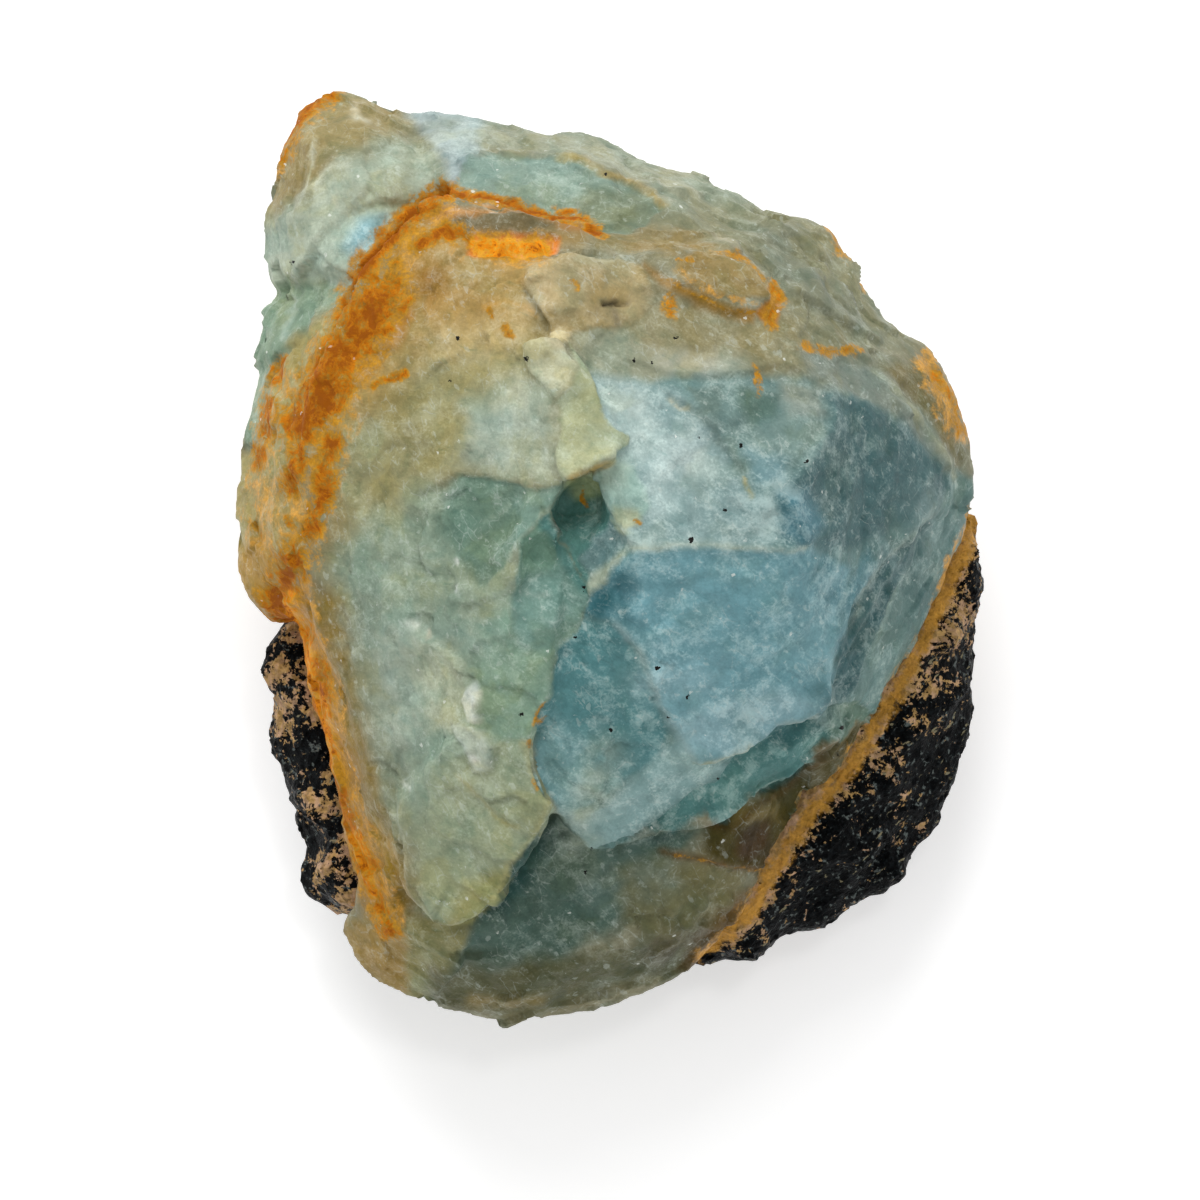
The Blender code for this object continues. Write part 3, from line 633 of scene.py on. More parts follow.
                [(-3.3, 10.9), (-2.4, 11.6), (-1.5, 10.9), (-2.1, 10.1), (-2.8, 10.3)],
                (210, 200, 162), 0.2,
            ),
            "slab, orange end": (
                [(7.4, 14.0), (9.2, 13.0), (8.6, 10.8), (6.9, 11.8)], (182, 120, 24), 0.3,
            ),
        },
    },
    "yellow flake": {
        "borders": {
            "yellow flake": (
                [(-2.0, 10.5), (-1.3, 9.5), (-0.7, 8.2), (-0.2, 6.8), (0.05, 6.4), (0.95, 5.9),
                 (0.9, 5.5), (0.3, 5.2), (0.2, 4.9), (-0.6, 4.6), (-1.6, 4.0), (-2.2, 3.65),
                 (-2.5, 4.3), (-2.7, 4.9), (-2.3, 6.2), (-2.6, 7.7), (-1.9, 8.5), (-1.6, 9.2)],
                0.2, 1.2,
            ),
        },
        "colours": {
            "yellow flake": (
                [(-3.2, 11.0), (-1.4, 10.6), (1.6, 6.0), (0.4, 4.4), (-2.6, 3.2), (-3.4, 7.0)],
                (168, 176, 142), 0.4,
            ),
            "yellow flake, golden foot": (
                [(-3.0, 5.0), (-0.6, 5.6), (1.2, 5.6), (0.2, 4.4), (-2.4, 3.2)],
                (182, 190, 156), 0.5,
            ),
        },
    },
}

# Strokes of colour: (line, width, colour, strength). Those named shade or shadow are painted shade and
# shadow, and those named glint or highlight are painted highlights.
STROKES = {
    "pale side of the belly": ([(-10.4, -5.0), (-10.1, -8.2)], 1.3, (182, 194, 176), 0.75),
    # Painted shade deep in the nook's corner
    "painted shade deep in the nook": ([(-0.4, -2.7), (0.7, -3.0)], 0.75, (40, 88, 96), 0.8),
    "pale spot on the crown": ([(-7.6, 10.4), (-5.3, 10.7)], 1.0, (214, 194, 142), 0.65),
    "shade on the block": ([(-10.8, 19.2), (-9.6, 20.0)], 1.0, (150, 156, 128), 0.6),
    "shade beside the wedge": ([(-7.6, 21.4), (-6.8, 20.8)], 0.9, (156, 170, 158), 0.7),
    "shade of the right side": ([(10.5, -0.4), (11.0, -2.2)], 1.0, (78, 116, 122), 0.65),
    "shade on the brushwork": ([(5.6, 1.7), (6.9, 1.8)], 1.1, (108, 136, 136), 0.75),
    "golden foot of the shelf": ([(-16.6, 3.2), (-16.2, 0.4)], 1.2, (158, 120, 50), 0.5),
    "golden neck": ([(-14.2, 4.4), (-13.8, 1.2)], 1.0, (150, 118, 50), 0.4),
    "shade of the right rim": ([(14.0, 0.2), (16.0, -2.6)], 1.3, (80, 112, 112), 0.55),
    "shade under the upper band": ([(-6.4, 16.3), (-2.4, 15.9)], 0.6, (120, 100, 62), 0.5),
    "pale edge of the tongue": ([(-0.2, -10.0), (-1.8, -13.8)], 1.1, (180, 190, 170), 0.5),
    "pale cloud in the bottom": ([(-0.4, -16.2), (2.4, -16.0)], 1.2, (122, 142, 132), 0.5),
    "shade in the blue": ([(3.5, 6.3), (4.7, 5.8)], 0.9, (120, 146, 148), 0.6),
    "shade left of the crown": ([(-10.4, 7.8), (-9.8, 5.6)], 1.1, (130, 122, 78), 0.55),
    "white cloud by the flake": ([(-4.5, 8.2), (-3.5, 7.8)], 0.9, (208, 216, 194), 0.6),
    "pale roof of the pocket": ([(-4.2, 4.0), (0.2, 4.4)], 0.9, (192, 202, 174), 0.4),
    "pale head of the belly": ([(-10.0, -3.8), (-6.0, -4.2)], 1.0, (162, 178, 162), 0.5),
    "white cloud in the central face": ([(1.8, -6.2), (4.4, -6.0)], 1.0, (162, 196, 202), 0.5),
    "shade in the central face": ([(5.8, -8.2), (8.2, -8.0)], 0.9, (92, 128, 136), 0.45),
    "shade under the right foot": ([(7.7, -12.3), (8.5, -11.7)], 0.8, (80, 96, 76), 0.5),
    "shade in the bottom": ([(1.7, -14.3), (2.5, -13.7)], 0.9, (58, 86, 82), 0.6),
    "pale spot on the right rim": ([(15.8, 2.6), (16.2, 1.0)], 0.9, (144, 168, 164), 0.6),
    "shade at the right foot": ([(10.6, -6.6), (11.0, -8.2)], 0.8, (60, 98, 100), 0.75),
    "white cloud in the crown": ([(2.6, 4.5), (4.1, 4.8)], 1.0, (202, 220, 216), 0.7),
    "brown foot of the bottom": ([(2.5, -19.6), (4.3, -19.1)], 1.0, (62, 54, 28), 0.7),
    "brown beside the right seam": ([(7.3, -14.2), (8.1, -15.5)], 0.8, (58, 40, 4), 0.75),
    "bright orange of the patch": (
        [(-6.5, 15.6), (-5.4, 15.4), (-4.4, 15.2), (-3.3, 15.3)], 0.42, (238, 150, 38), 1.2,
    ),
    "bright orange of the left seam": (
        [(-16.0, -2.0), (-15.3, -4.2), (-14.5, -6.0), (-14.1, -8.0), (-13.7, -10.4)],
        0.5, (244, 160, 40), 1.1,
    ),
    "bright orange at the seam's foot": (
        [(-12.5, -13.8), (-12.0, -15.4), (-11.5, -16.8)], 0.4, (244, 160, 40), 1.1,
    ),
    "olive shade beside the left seam": (
        [(-14.2, -2.6), (-13.2, -7.0), (-12.3, -10.8), (-11.3, -14.0), (-10.6, -17.0)],
        1.15, (136, 110, 26), 0.95,
    ),
    "golden blotch beside the left seam": (
        [(-11.6, -13.6), (-11.2, -14.4), (-11.1, -15.0)], 0.45, (180, 138, 46), 0.6,
    ),
    "honey line over the long facet": (
        [(-2.6, 20.1), (-1.2, 19.8), (-0.4, 19.2), (1.0, 18.7), (2.0, 18.1), (2.7, 17.5)],
        0.16, (178, 150, 72), 0.7,
    ),
    "golden side of the flake": (
        [(-1.9, 3.85), (-0.8, 4.25), (0.15, 4.65)], 0.16, (186, 160, 92), 0.85,
    ),
    "light rim of the pocket": (
        [(-2.3, 3.5), (-3.15, 2.2), (-4.4, 0.8), (-4.9, 0.1), (-5.4, -0.6)],
        0.13, (166, 182, 160), 0.6,
    ),
    "light ridge of the green step": (
        [(-4.5, 0.6), (-4.6, -0.6), (-4.9, -2.6)], 0.13, (156, 172, 148), 0.5,
    ),
    "pale streak in the hollow": (
        [(-6.2, 1.8), (-5.4, 2.1), (-4.9, 2.5)], 0.08, (160, 178, 158), 0.6,
    ),
    "pale crest of the central face": (
        [(1.2, 0.4), (3.5, 0.55), (5.5, 0.5), (7.9, 0.35), (9.7, 0.4)],
        0.16, (188, 196, 178), 0.6,
    ),
    "cream lip of the crack": (
        [(2.9, 7.7), (3.4, 7.35), (3.85, 7.3)], 0.1, (196, 194, 168), 0.8,
    ),
    "shadow of the crack": (
        [(3.4, 7.7), (4.4, 7.0), (5.0, 6.3), (5.7, 5.2)], 0.16, (112, 134, 130), 0.65,
    ),
    "honey end of the crack": ([(6.7, 3.8), (6.8, 3.3), (7.0, 3.0)], 0.1, (168, 152, 84), 0.8),
    "pale ledge over the lip, left": (
        [(4.3, -10.05), (5.4, -9.8), (6.9, -9.25)], 0.12, (178, 180, 150), 0.6,
    ),
    "pale ledge over the lip, right": (
        [(8.2, -8.25), (9.4, -8.0), (10.4, -7.7)], 0.12, (176, 192, 184), 0.6,
    ),
    "pale crest of the lower left face": (
        [(0.3, -3.3), (1.5, -4.6), (2.0, -6.0), (2.4, -7.0), (3.1, -8.4), (4.2, -9.9)],
        0.2, (160, 188, 188), 0.55,
    ),
    "pale flank of the crease": (
        [(16.2, 2.6), (15.2, 1.2), (14.0, -0.2), (13.2, -1.4), (12.5, -3.0)],
        0.12, (156, 178, 168), 0.5,
    ),
    "second pale flank": (
        [(15.6, 1.0), (14.9, -0.6), (14.2, -2.0), (13.4, -3.8)], 0.12, (150, 172, 160), 0.4,
    ),
    "brown line under the lip": (
        [(2.6, -14.7), (4.6, -15.1), (5.8, -15.3), (7.6, -15.7), (8.2, -15.3)],
        0.22, (96, 68, 16), 0.8,
    ),
    "brown shadow of the lip": (
        [(5.0, -13.4), (6.2, -13.5), (7.2, -12.6), (8.6, -11.8), (9.8, -10.7), (11.0, -9.4)],
        0.22, (84, 60, 14), 0.75,
    ),
    # Painted shade along the bottom of the crease
    "painted shade line in the crease": (
        [(15.9, 1.6), (14.6, 0.4), (13.2, -1.4), (12.2, -3.6)], 0.12, (66, 92, 90), 0.6,
    ),
    "pale line of the right shoulder": (
        [(13.2, 9.2), (14.2, 8.2), (15.4, 6.9), (16.4, 5.4), (17.1, 4.0)],
        0.18, (162, 164, 132), 0.6,
    ),
    "yellow edge of the tongue": (
        [(-4.2, -9.2), (-3.9, -10.6), (-3.1, -12.2), (-3.5, -13.5), (-5.0, -15.3),
         (-5.5, -16.7), (-6.9, -18.1), (-8.0, -18.3)],
        0.14, (184, 180, 130), 0.5,
    ),
    "yellow line on the tongue": (
        [(-7.4, -10.8), (-6.2, -12.1), (-5.5, -13.0), (-4.6, -13.4)], 0.13, (164, 154, 90), 0.6,
    ),
    # Painted highlights: the tilted crystal's white spot and the glints below
    "painted highlight on the tilted crystal": (
        [(-6.7, -9.8), (-6.6, -10.0)], 0.16, (246, 246, 238), 0.95,
    ),
    "white glints of the belly": ([(-9.8, -3.2), (-9.5, -3.4)], 0.15, (226, 226, 210), 0.8),
    "glint by the glints": ([(-8.9, -3.7), (-8.75, -3.9)], 0.1, (230, 214, 190), 0.8),
    "glint of the hollow": ([(-7.65, -0.1), (-7.6, -0.3)], 0.1, (236, 240, 232), 0.85),
    "glint under the hollow": ([(-7.6, -1.5), (-7.45, -1.75)], 0.1, (228, 234, 224), 0.8),
    "glints of the lower belly": ([(-10.2, -11.2), (-10.0, -11.5)], 0.1, (222, 228, 214), 0.75),
    "glint of the green step, high": (
        [(-3.9, -1.1), (-3.4, -0.8)], 0.1, (176, 196, 182), 0.7,
    ),
    "glint of the green step, low": (
        [(-4.0, -1.8), (-3.4, -2.0), (-2.9, -1.8)], 0.12, (172, 192, 178), 0.6,
    ),
    "white crystals of the block": (
        [(-12.8, 22.5), (-12.6, 22.0), (-12.2, 21.7)], 0.22, (214, 204, 174), 0.7,
    ),
    "white streak of the block": (
        [(-14.65, 20.9), (-14.8, 20.0), (-14.9, 19.2), (-15.1, 18.2)],
        0.1, (206, 208, 184), 0.8,
    ),
    "second streak of the block": (
        [(-13.4, 19.8), (-14.2, 19.1), (-14.8, 18.3)], 0.16, (196, 202, 178), 0.6,
    ),
    "third streak of the block": (
        [(-13.8, 18.3), (-13.6, 17.4)], 0.12, (200, 206, 184), 0.6,
    ),
    "streak of the shelf": (
        [(-15.4, 12.8), (-15.8, 11.7), (-16.1, 10.8)], 0.14, (184, 200, 184), 0.65,
    ),
    "cream rim of the slab": (
        [(5.2, 16.0), (6.2, 15.4), (7.0, 14.6), (7.6, 14.0)], 0.14, (190, 182, 156), 0.6,
    ),
    "white edge over the lump": (
        [(-1.0, 14.6), (0.2, 14.7), (0.6, 14.9)], 0.1, (204, 194, 160), 0.6,
    ),
    "grey smudge": ([(0.2, 12.3), (0.4, 11.5)], 0.22, (104, 98, 80), 0.75),
    # Painted shadow in the slit
    "painted shadow in the slit": ([(-0.1, 12.5), (0.3, 12.65), (0.9, 12.5)], 0.1, (28, 24, 18), 0.95),
    # Painted shadow in the pocket's corner
    "painted shadow line in the pocket": ([(-2.8, 1.7), (-2.5, 1.25)], 0.1, (28, 40, 38), 0.85),
    "golden arc by the groove": (
        [(-6.2, 12.3), (-5.2, 12.55), (-4.2, 12.4), (-3.6, 11.9)], 0.14, (196, 150, 72), 0.7,
    ),
    "grey shade by the lump": (
        [(-4.2, 13.2), (-3.5, 12.2), (-3.1, 11.3)], 0.14, (124, 118, 90), 0.75,
    ),
    "golden foot of the stone": (
        [(-6.8, -22.2), (-5.2, -22.4), (-3.6, -22.1)], 0.4, (150, 128, 70), 0.6,
    ),
    "bright foot rim": (
        [(-6.4, -23.2), (-3.4, -22.9), (0.0, -22.0), (2.6, -21.2)], 0.35, (150, 140, 104), 0.5,
    ),
}

# Rust: (line, width, strength from 0 to 1)
RUST = {
    "upper band": (
        [(-8.3, 18.2), (-7.4, 18.1), (-6.4, 17.8), (-5.0, 17.5), (-3.3, 17.15), (-2.0, 16.95),
         (-1.2, 16.7), (-0.4, 16.2)],
        0.20, 0.95,
    ),
    "ridge, head": (
        [(-8.2, 18.2), (-8.9, 17.6), (-9.7, 17.0), (-10.6, 16.2), (-11.4, 15.3), (-12.3, 14.2)],
        0.38, 1.1,
    ),
    "ridge, inner side": (
        [(-9.2, 17.0), (-10.4, 15.9), (-11.0, 15.0), (-10.6, 14.4)], 0.45, 0.4,
    ),
    "ridge, neck": ([(-12.4, 14.4), (-12.8, 13.2), (-13.4, 11.8)], 0.4, 0.65),
    "ridge, heart": (
        [(-11.2, 12.9), (-12.0, 12.2), (-12.6, 11.4), (-12.4, 10.8), (-13.4, 10.0),
         (-13.9, 8.8), (-14.4, 7.6), (-15.0, 6.9), (-15.4, 6.6)],
        0.75, 1.15,
    ),
    "ridge, right branch": ([(-11.0, 11.2), (-11.8, 11.0)], 0.3, 0.85),
    "ridge, low right branch": ([(-12.9, 9.8), (-13.0, 8.2), (-13.6, 7.2)], 0.35, 0.75),
    "shelf streak": ([(-14.8, 6.6), (-15.2, 5.4), (-15.6, 4.4), (-15.9, 3.4)], 0.3, 0.9),
    "ridge, foot": (
        [(-13.7, 5.6), (-14.1, 4.6), (-14.1, 3.4), (-14.4, 2.4), (-14.9, 1.2)], 0.38, 0.95,
    ),
    "shelf, honey blotch": ([(-16.2, 9.6), (-16.5, 8.6)], 0.24, 0.8),
    "shelf, low blotch": ([(-16.8, 7.6), (-17.0, 6.0)], 0.28, 0.85),
    "shelf, foot blotch": ([(-17.4, 5.4), (-17.5, 4.6)], 0.3, 0.8),
    "shelf, spots": ([(-17.6, 1.7), (-17.4, 1.0)], 0.15, 0.75),
    "shelf, middle spot": ([(-16.1, 1.9), (-15.9, 1.5)], 0.16, 0.8),
    "left seam, head": (
        [(-15.8, -0.2), (-16.2, -1.4), (-16.6, -2.2), (-15.9, -3.4), (-15.4, -4.4)], 0.6, 1.0,
    ),
    "left seam, middle": (
        [(-15.4, -4.4), (-14.6, -5.6), (-14.3, -7.0), (-14.2, -8.8), (-13.8, -10.8),
         (-13.2, -12.4), (-12.6, -13.6)],
        0.42, 0.85,
    ),
    "left seam, foot": (
        [(-12.6, -13.6), (-12.2, -15.2), (-11.6, -16.8), (-11.2, -18.2), (-10.9, -18.9)],
        0.32, 0.85,
    ),
    "orange patch": ([(-6.4, 15.5), (-4.8, 15.3), (-3.5, 15.3)], 0.4, 0.8),
    "patch to the ridge": ([(-7.0, 15.9), (-8.2, 16.1), (-9.3, 15.4)], 0.3, 0.95),
    "under the ridge": ([(-10.2, 12.2), (-9.8, 12.6)], 0.2, 0.75),
    "crown line": ([(-11.8, 8.4), (-10.8, 8.8), (-10.1, 9.1)], 0.12, 0.8),
    "slab, head": ([(5.2, 15.2), (6.2, 15.0), (7.0, 14.5), (7.6, 13.9)], 0.14, 0.35),
    "slab, spot": ([(3.4, 14.6), (4.0, 14.6)], 0.1, 0.5),
    "slab, foot": ([(3.0, 13.6), (4.4, 12.9), (5.4, 12.4), (7.2, 12.1)], 0.1, 0.3),
    "slab, end": ([(8.2, 13.4), (8.5, 12.7), (8.0, 12.0), (8.1, 11.5)], 0.3, 0.5),
    "spot under the slab": ([(2.9, 12.7), (3.1, 12.1)], 0.22, 0.65),
    "spot on the crown": ([(-5.15, 11.3), (-4.9, 10.8)], 0.18, 0.55),
    "small spot on the crown": ([(-5.8, 12.1), (-5.7, 11.9)], 0.1, 0.8),
    "spot on the lump": ([(-1.9, 13.5), (-1.7, 13.2)], 0.12, 0.45),
    "streak in the blue": ([(7.2, 9.4), (7.4, 8.8), (7.4, 8.1)], 0.12, 0.5),
    "pocket roof": ([(-1.3, 3.3), (-1.4, 2.9), (-1.1, 2.4)], 0.08, 0.4),
    "spot on the lobe": ([(1.35, 1.75), (1.45, 1.65)], 0.07, 0.6),
    "block rim": (
        [(-16.4, 20.2), (-16.0, 21.4), (-15.3, 22.4), (-14.6, 23.1), (-13.9, 23.2)], 0.42, 0.72,
    ),
    "right rim": ([(16.2, 9.2), (16.9, 8.4), (17.5, 7.4), (17.6, 6.4)], 0.3, 0.45),
    "corner rim": ([(11.2, 16.0), (11.5, 15.2), (12.4, 14.9)], 0.2, 0.4),
    "tongue's nick": ([(-3.1, -7.3), (-3.5, -8.3)], 0.14, 0.35),
    "tongue's second nick": ([(-4.0, -9.0), (-3.9, -9.5)], 0.1, 0.35),
    "tongue, edge spot": ([(-3.8, -11.1), (-3.5, -11.5)], 0.12, 0.4),
    "line under the lip": (
        [(3.2, -14.8), (4.6, -15.1), (5.8, -15.3), (7.6, -15.7), (8.2, -15.3)], 0.12, 0.2,
    ),
    "shoulder line": ([(9.6, 10.4), (11.0, 10.2), (12.4, 10.2)], 0.2, 0.42),
}

# Gold along the contact with the bed and beside the rust: (line, width, strength from 0 to 1)
GOLD = {
    "right seam, head": (
        [(18.0, 2.2), (17.5, 0.4), (17.0, -1.2), (16.2, -3.2), (15.1, -5.6), (14.0, -7.4)],
        0.28, 0.9,
    ),
    "right seam, foot": (
        [(14.0, -7.4), (12.9, -9.4), (11.8, -10.8), (10.4, -12.6), (9.0, -14.5), (8.0, -16.0),
         (7.2, -17.6), (6.0, -19.0), (4.8, -20.2)],
        0.3, 0.9,
    ),
    "left seam": (
        [(-15.0, -1.4), (-14.6, -4.0), (-13.6, -7.0), (-13.3, -9.4), (-12.6, -12.4),
         (-11.6, -15.4), (-10.6, -18.0)],
        0.45, 0.4,
    ),
    "inner side of the ridge": (
        [(-8.6, 17.2), (-9.8, 16.2), (-10.8, 14.6), (-11.3, 12.8), (-11.9, 11.0), (-12.9, 8.8),
         (-13.8, 6.6), (-14.4, 4.4), (-15.0, 2.0), (-15.4, 0.0)],
        1.0, 0.5,
    ),
    "shelf": ([(-16.2, 8.6), (-16.8, 6.4), (-17.2, 3.6), (-17.2, 1.0)], 0.9, 0.45),
    "under the orange patch": ([(-8.0, 15.2), (-5.4, 14.6), (-3.2, 14.6)], 0.4, 0.3),
    "slab": ([(3.3, 14.1), (4.4, 13.4), (6.4, 12.6), (7.8, 12.4)], 0.2, 0.35),
    "right rim": ([(15.8, 9.6), (16.8, 8.2), (17.5, 6.4)], 0.5, 0.75),
    "corner": ([(11.0, 16.4), (11.4, 15.3), (12.6, 14.7), (13.0, 13.6)], 0.25, 0.7),
    "block rim": ([(-16.8, 19.8), (-16.2, 21.2), (-15.4, 22.4), (-14.2, 23.2)], 0.6, 0.7),
}

# Ledges: (line, height, reach). The side to the left of the line's run stands higher.
LEDGES = {
    "second flake": (
        [(-5.9, -10.8), (-5.6, -9.4), (-6.4, -8.4), (-6.3, -7.2), (-6.9, -6.0), (-7.3, -5.0),
         (-8.8, -4.0), (-9.7, -3.4), (-10.2, -2.0), (-10.6, -0.6)],
        0.5, 3.0,
    ),
    "crack in the crown": (
        [(2.3, 8.4), (3.4, 7.5), (4.4, 7.0), (5.0, 6.3), (5.7, 5.2), (6.6, 4.0)], 0.3, 2.0,
    ),
    "ledge over the lip": (
        [(3.6, -9.0), (4.3, -10.1), (5.4, -9.9), (6.9, -9.3), (8.3, -8.3), (10.2, -7.9),
         (10.8, -7.2), (11.2, -5.6)],
        0.45, 2.4,
    ),
    "crest of the lower left face": (
        [(-0.6, -2.9), (0.3, -3.3), (1.5, -4.6), (2.0, -6.0), (2.4, -7.0), (3.1, -8.4),
         (3.6, -9.2)],
        0.3, 2.2,
    ),
    "block crown": (
        [(-9.8, 19.6), (-11.8, 19.2), (-13.6, 19.4), (-15.0, 18.4), (-16.4, 17.8)], 0.15, 2.2,
    ),
    "block cleft": ([(-12.9, 22.6), (-12.4, 21.2), (-11.0, 20.2), (-9.6, 19.8)], 0.18, 1.6),
    "grey strip": (
        [(-8.8, 16.9), (-6.5, 17.1), (-3.0, 16.6), (-0.6, 16.0)], -0.3, 1.0,
    ),
    "shelf step": (
        [(-16.6, 9.6), (-16.4, 8.6), (-16.2, 7.0), (-15.8, 5.6), (-15.2, 4.0)], -0.35, 2.0,
    ),
    "line on the tongue": ([(-7.4, -10.8), (-6.2, -12.1), (-4.6, -13.5)], 0.25, 1.8),
    "belly edge": (
        [(-9.4, -17.6), (-9.8, -15.4), (-10.6, -12.4), (-11.2, -8.8), (-12.0, -5.4)], 0.25, 2.2,
    ),
    "belly fold": ([(-9.6, -9.6), (-10.4, -6.0), (-10.6, -2.6)], 0.25, 1.6),
    "crown terrace": (
        [(-12.6, 8.2), (-10.8, 8.8), (-9.0, 10.8), (-6.8, 13.4), (-5.0, 14.2)], 0.10, 2.0,
    ),
    "crown terrace, low": ([(-12.6, 1.2), (-10.8, 3.4), (-9.4, 5.6), (-6.2, 6.6)], 0.08, 2.0),
    "top band step": (
        [(2.6, 17.8), (4.8, 18.0), (7.0, 16.8), (9.6, 15.6), (11.2, 14.4)], 0.4, 1.4,
    ),
    "upper right terrace": ([(8.8, 13.4), (10.4, 12.4), (12.2, 11.2), (13.8, 10.4)], 0.4, 1.8),
    "upper right terrace, low": ([(9.6, 11.6), (11.6, 10.4), (13.4, 9.4)], 0.25, 1.2),
    "head of the blue": (
        [(0.2, 9.8), (2.0, 9.2), (4.2, 8.8), (6.6, 9.0), (8.4, 9.4), (10.0, 9.0)], 0.25, 1.8,
    ),
    "face corner": ([(9.9, 0.2), (8.5, 2.9), (9.3, 4.4), (10.8, 6.4), (11.0, 8.0)], -0.35, 2.2),
    "bottom right lip": ([(4.6, -15.0), (6.2, -15.4), (8.0, -15.6)], 0.35, 1.4),
    "foot cleft": ([(-8.8, -22.0), (-7.3, -20.2), (-7.0, -18.4)], 0.4, 1.6),
    "right side step": (
        [(16.2, 2.6), (15.0, -0.4), (13.9, -2.2), (12.8, -4.6), (12.0, -7.2)], -0.3, 1.4,
    ),
}

# Crests and grooves: (line, height, half width). A groove's height is under zero.
CRESTS = {
    "groove by the lump": (
        [(-5.0, 14.2), (-4.2, 13.2), (-3.8, 12.4), (-3.2, 11.6), (-2.9, 10.9)], -0.12, 0.22,
    ),
    "rim of the pocket": ([(-2.3, 3.6), (-3.2, 2.2), (-4.4, 0.8), (-5.2, -0.3)], 0.25, 0.22),
    "ridge of the green step": (
        [(-4.4, 0.8), (-4.5, -0.4), (-4.9, -2.6), (-5.2, -4.4)], 0.25, 0.22,
    ),
    "crest of the central face": ([(1.2, 0.35), (4.0, 0.5), (7.0, 0.4), (9.7, 0.35)], 0.2, 0.3),
    "right crease": (
        [(16.2, 1.9), (14.9, 0.4), (13.6, -1.0), (12.6, -2.8), (12.0, -4.4), (11.4, -6.4),
         (11.1, -7.5)],
        -0.4, 0.5,
    ),
    "right shoulder line": (
        [(13.2, 9.2), (14.2, 8.2), (15.4, 6.9), (16.4, 5.4), (17.1, 4.0)], 0.22, 0.3,
    ),
    "slit": ([(-0.1, 12.55), (0.7, 12.5)], -0.4, 0.15),
    "shadow line of the tongue": (
        [(-2.9, -7.0), (-3.6, -8.7), (-3.8, -9.7), (-3.5, -11.0), (-2.9, -12.0)], -0.3, 0.16,
    ),
}

# Small lumps of the bottom mass: (x, y, radius, height)
LUMPS = [
    (2.1, -17.6, 0.55, 0.30), (3.1, -17.5, 0.5, 0.3), (4.6, -17.3, 0.45, 0.30),
    (5.8, -17.2, 0.5, 0.3), (3.9, -18.3, 0.4, 0.35), (2.2, -18.4, 0.5, 0.25),
    (5.1, -16.5, 0.35, 0.25), (0.1, -15.9, 0.4, 0.2), (-0.6, -16.6, 0.4, 0.2),
    (6.1, -18.2, 0.4, 0.25),
]

# Black specks on the surface: (x, y, radius)
SPECKS = [
    (4.05, 0.85, 0.15), (5.75, 2.30, 0.08), (6.50, 5.45, 0.08), (9.75, 4.70, 0.07),
    (2.40, -5.50, 0.09), (0.10, -8.60, 0.09), (3.85, -6.95, 0.08), (-4.35, -7.80, 0.09),
    (-1.70, -4.00, 0.08), (-1.25, -1.55, 0.10), (11.60, -8.50, 0.08), (-7.50, 10.80, 0.09),
    (-4.10, 9.75, 0.10), (-15.80, 14.70, 0.10), (5.40, -11.00, 0.07), (2.90, -8.00, 0.07),
    (-0.20, 19.05, 0.08), (1.20, 9.65, 0.07), (2.10, 9.60, 0.06), (3.30, 10.80, 0.08),
    (-7.90, 8.70, 0.06), (4.50, 5.90, 0.06), (-0.85, -14.50, 0.07), (-1.20, -15.70, 0.07),
]


# Noise

CELL_PRIMES = (73856093, 19349663, 83492791)
SEED_PRIME = 2654435761
MIX_PRIME = 1274126177
RANDOM_TOP = 0xFFFFFF
NOISE_GAIN = 1.6  # brings the noise's reach to about one
OCTAVE_SHIFT = 17.3
OCTAVE_SEED = 7
WANDER_SEED = 20


def random_at(cell, seed):
    """A random number from 0 to 1 for each whole-number cell."""
    x, y, z = (cell[..., i].astype(np.int64) * CELL_PRIMES[i] for i in range(3))
    mixed = x ^ y ^ z ^ (seed * SEED_PRIME)
    mixed = (mixed ^ (mixed >> 13)) * MIX_PRIME
    mixed = (mixed ^ (mixed >> 16)) & RANDOM_TOP
    return mixed / float(RANDOM_TOP)


def smooth_noise(points, seed):
    """Noise from -1 to 1 that varies over a length of one."""
    corner = np.floor(points).astype(np.int64)
    share = points - corner
    ease = share * share * share * (share * (share * 6 - 15) + 10)
    total = np.zeros(len(points))
    for step in product((0, 1), repeat=3):
        slope = random_directions(corner + np.array(step), seed)
        rise = ((share - step) * slope).sum(1)
        total += rise * np.where(step, ease, 1 - ease).prod(1)
    return total * NOISE_GAIN


def random_directions(cell, seed):
    """Three random numbers from -1 to 1 for each cell."""
    return np.stack([random_at(cell, seed + i) * 2 - 1 for i in range(3)], 1)


def layered(points, size, octaves, seed):
    """Smooth noise in layers, each half as large and half as high as the last."""
    total = np.zeros(len(points))
    for octave in range(octaves):
        places = points / size * 2**octave + octave * OCTAVE_SHIFT
        total += smooth_noise(places, seed + octave * OCTAVE_SEED) / 2**octave
    return total


def wander(points, size, octaves, seed):
    """A sideways drift in plan, of up to about one each way."""
    return np.stack([layered(points, size, octaves, seed + i * WANDER_SEED) for i in range(2)], 1)


def uneven(points, size, amount, seed):
    """The points pushed about, so that the chips on them get uneven borders."""
    return points + np.stack([layered(points, size, 2, seed + i) for i in range(3)], 1) * amount


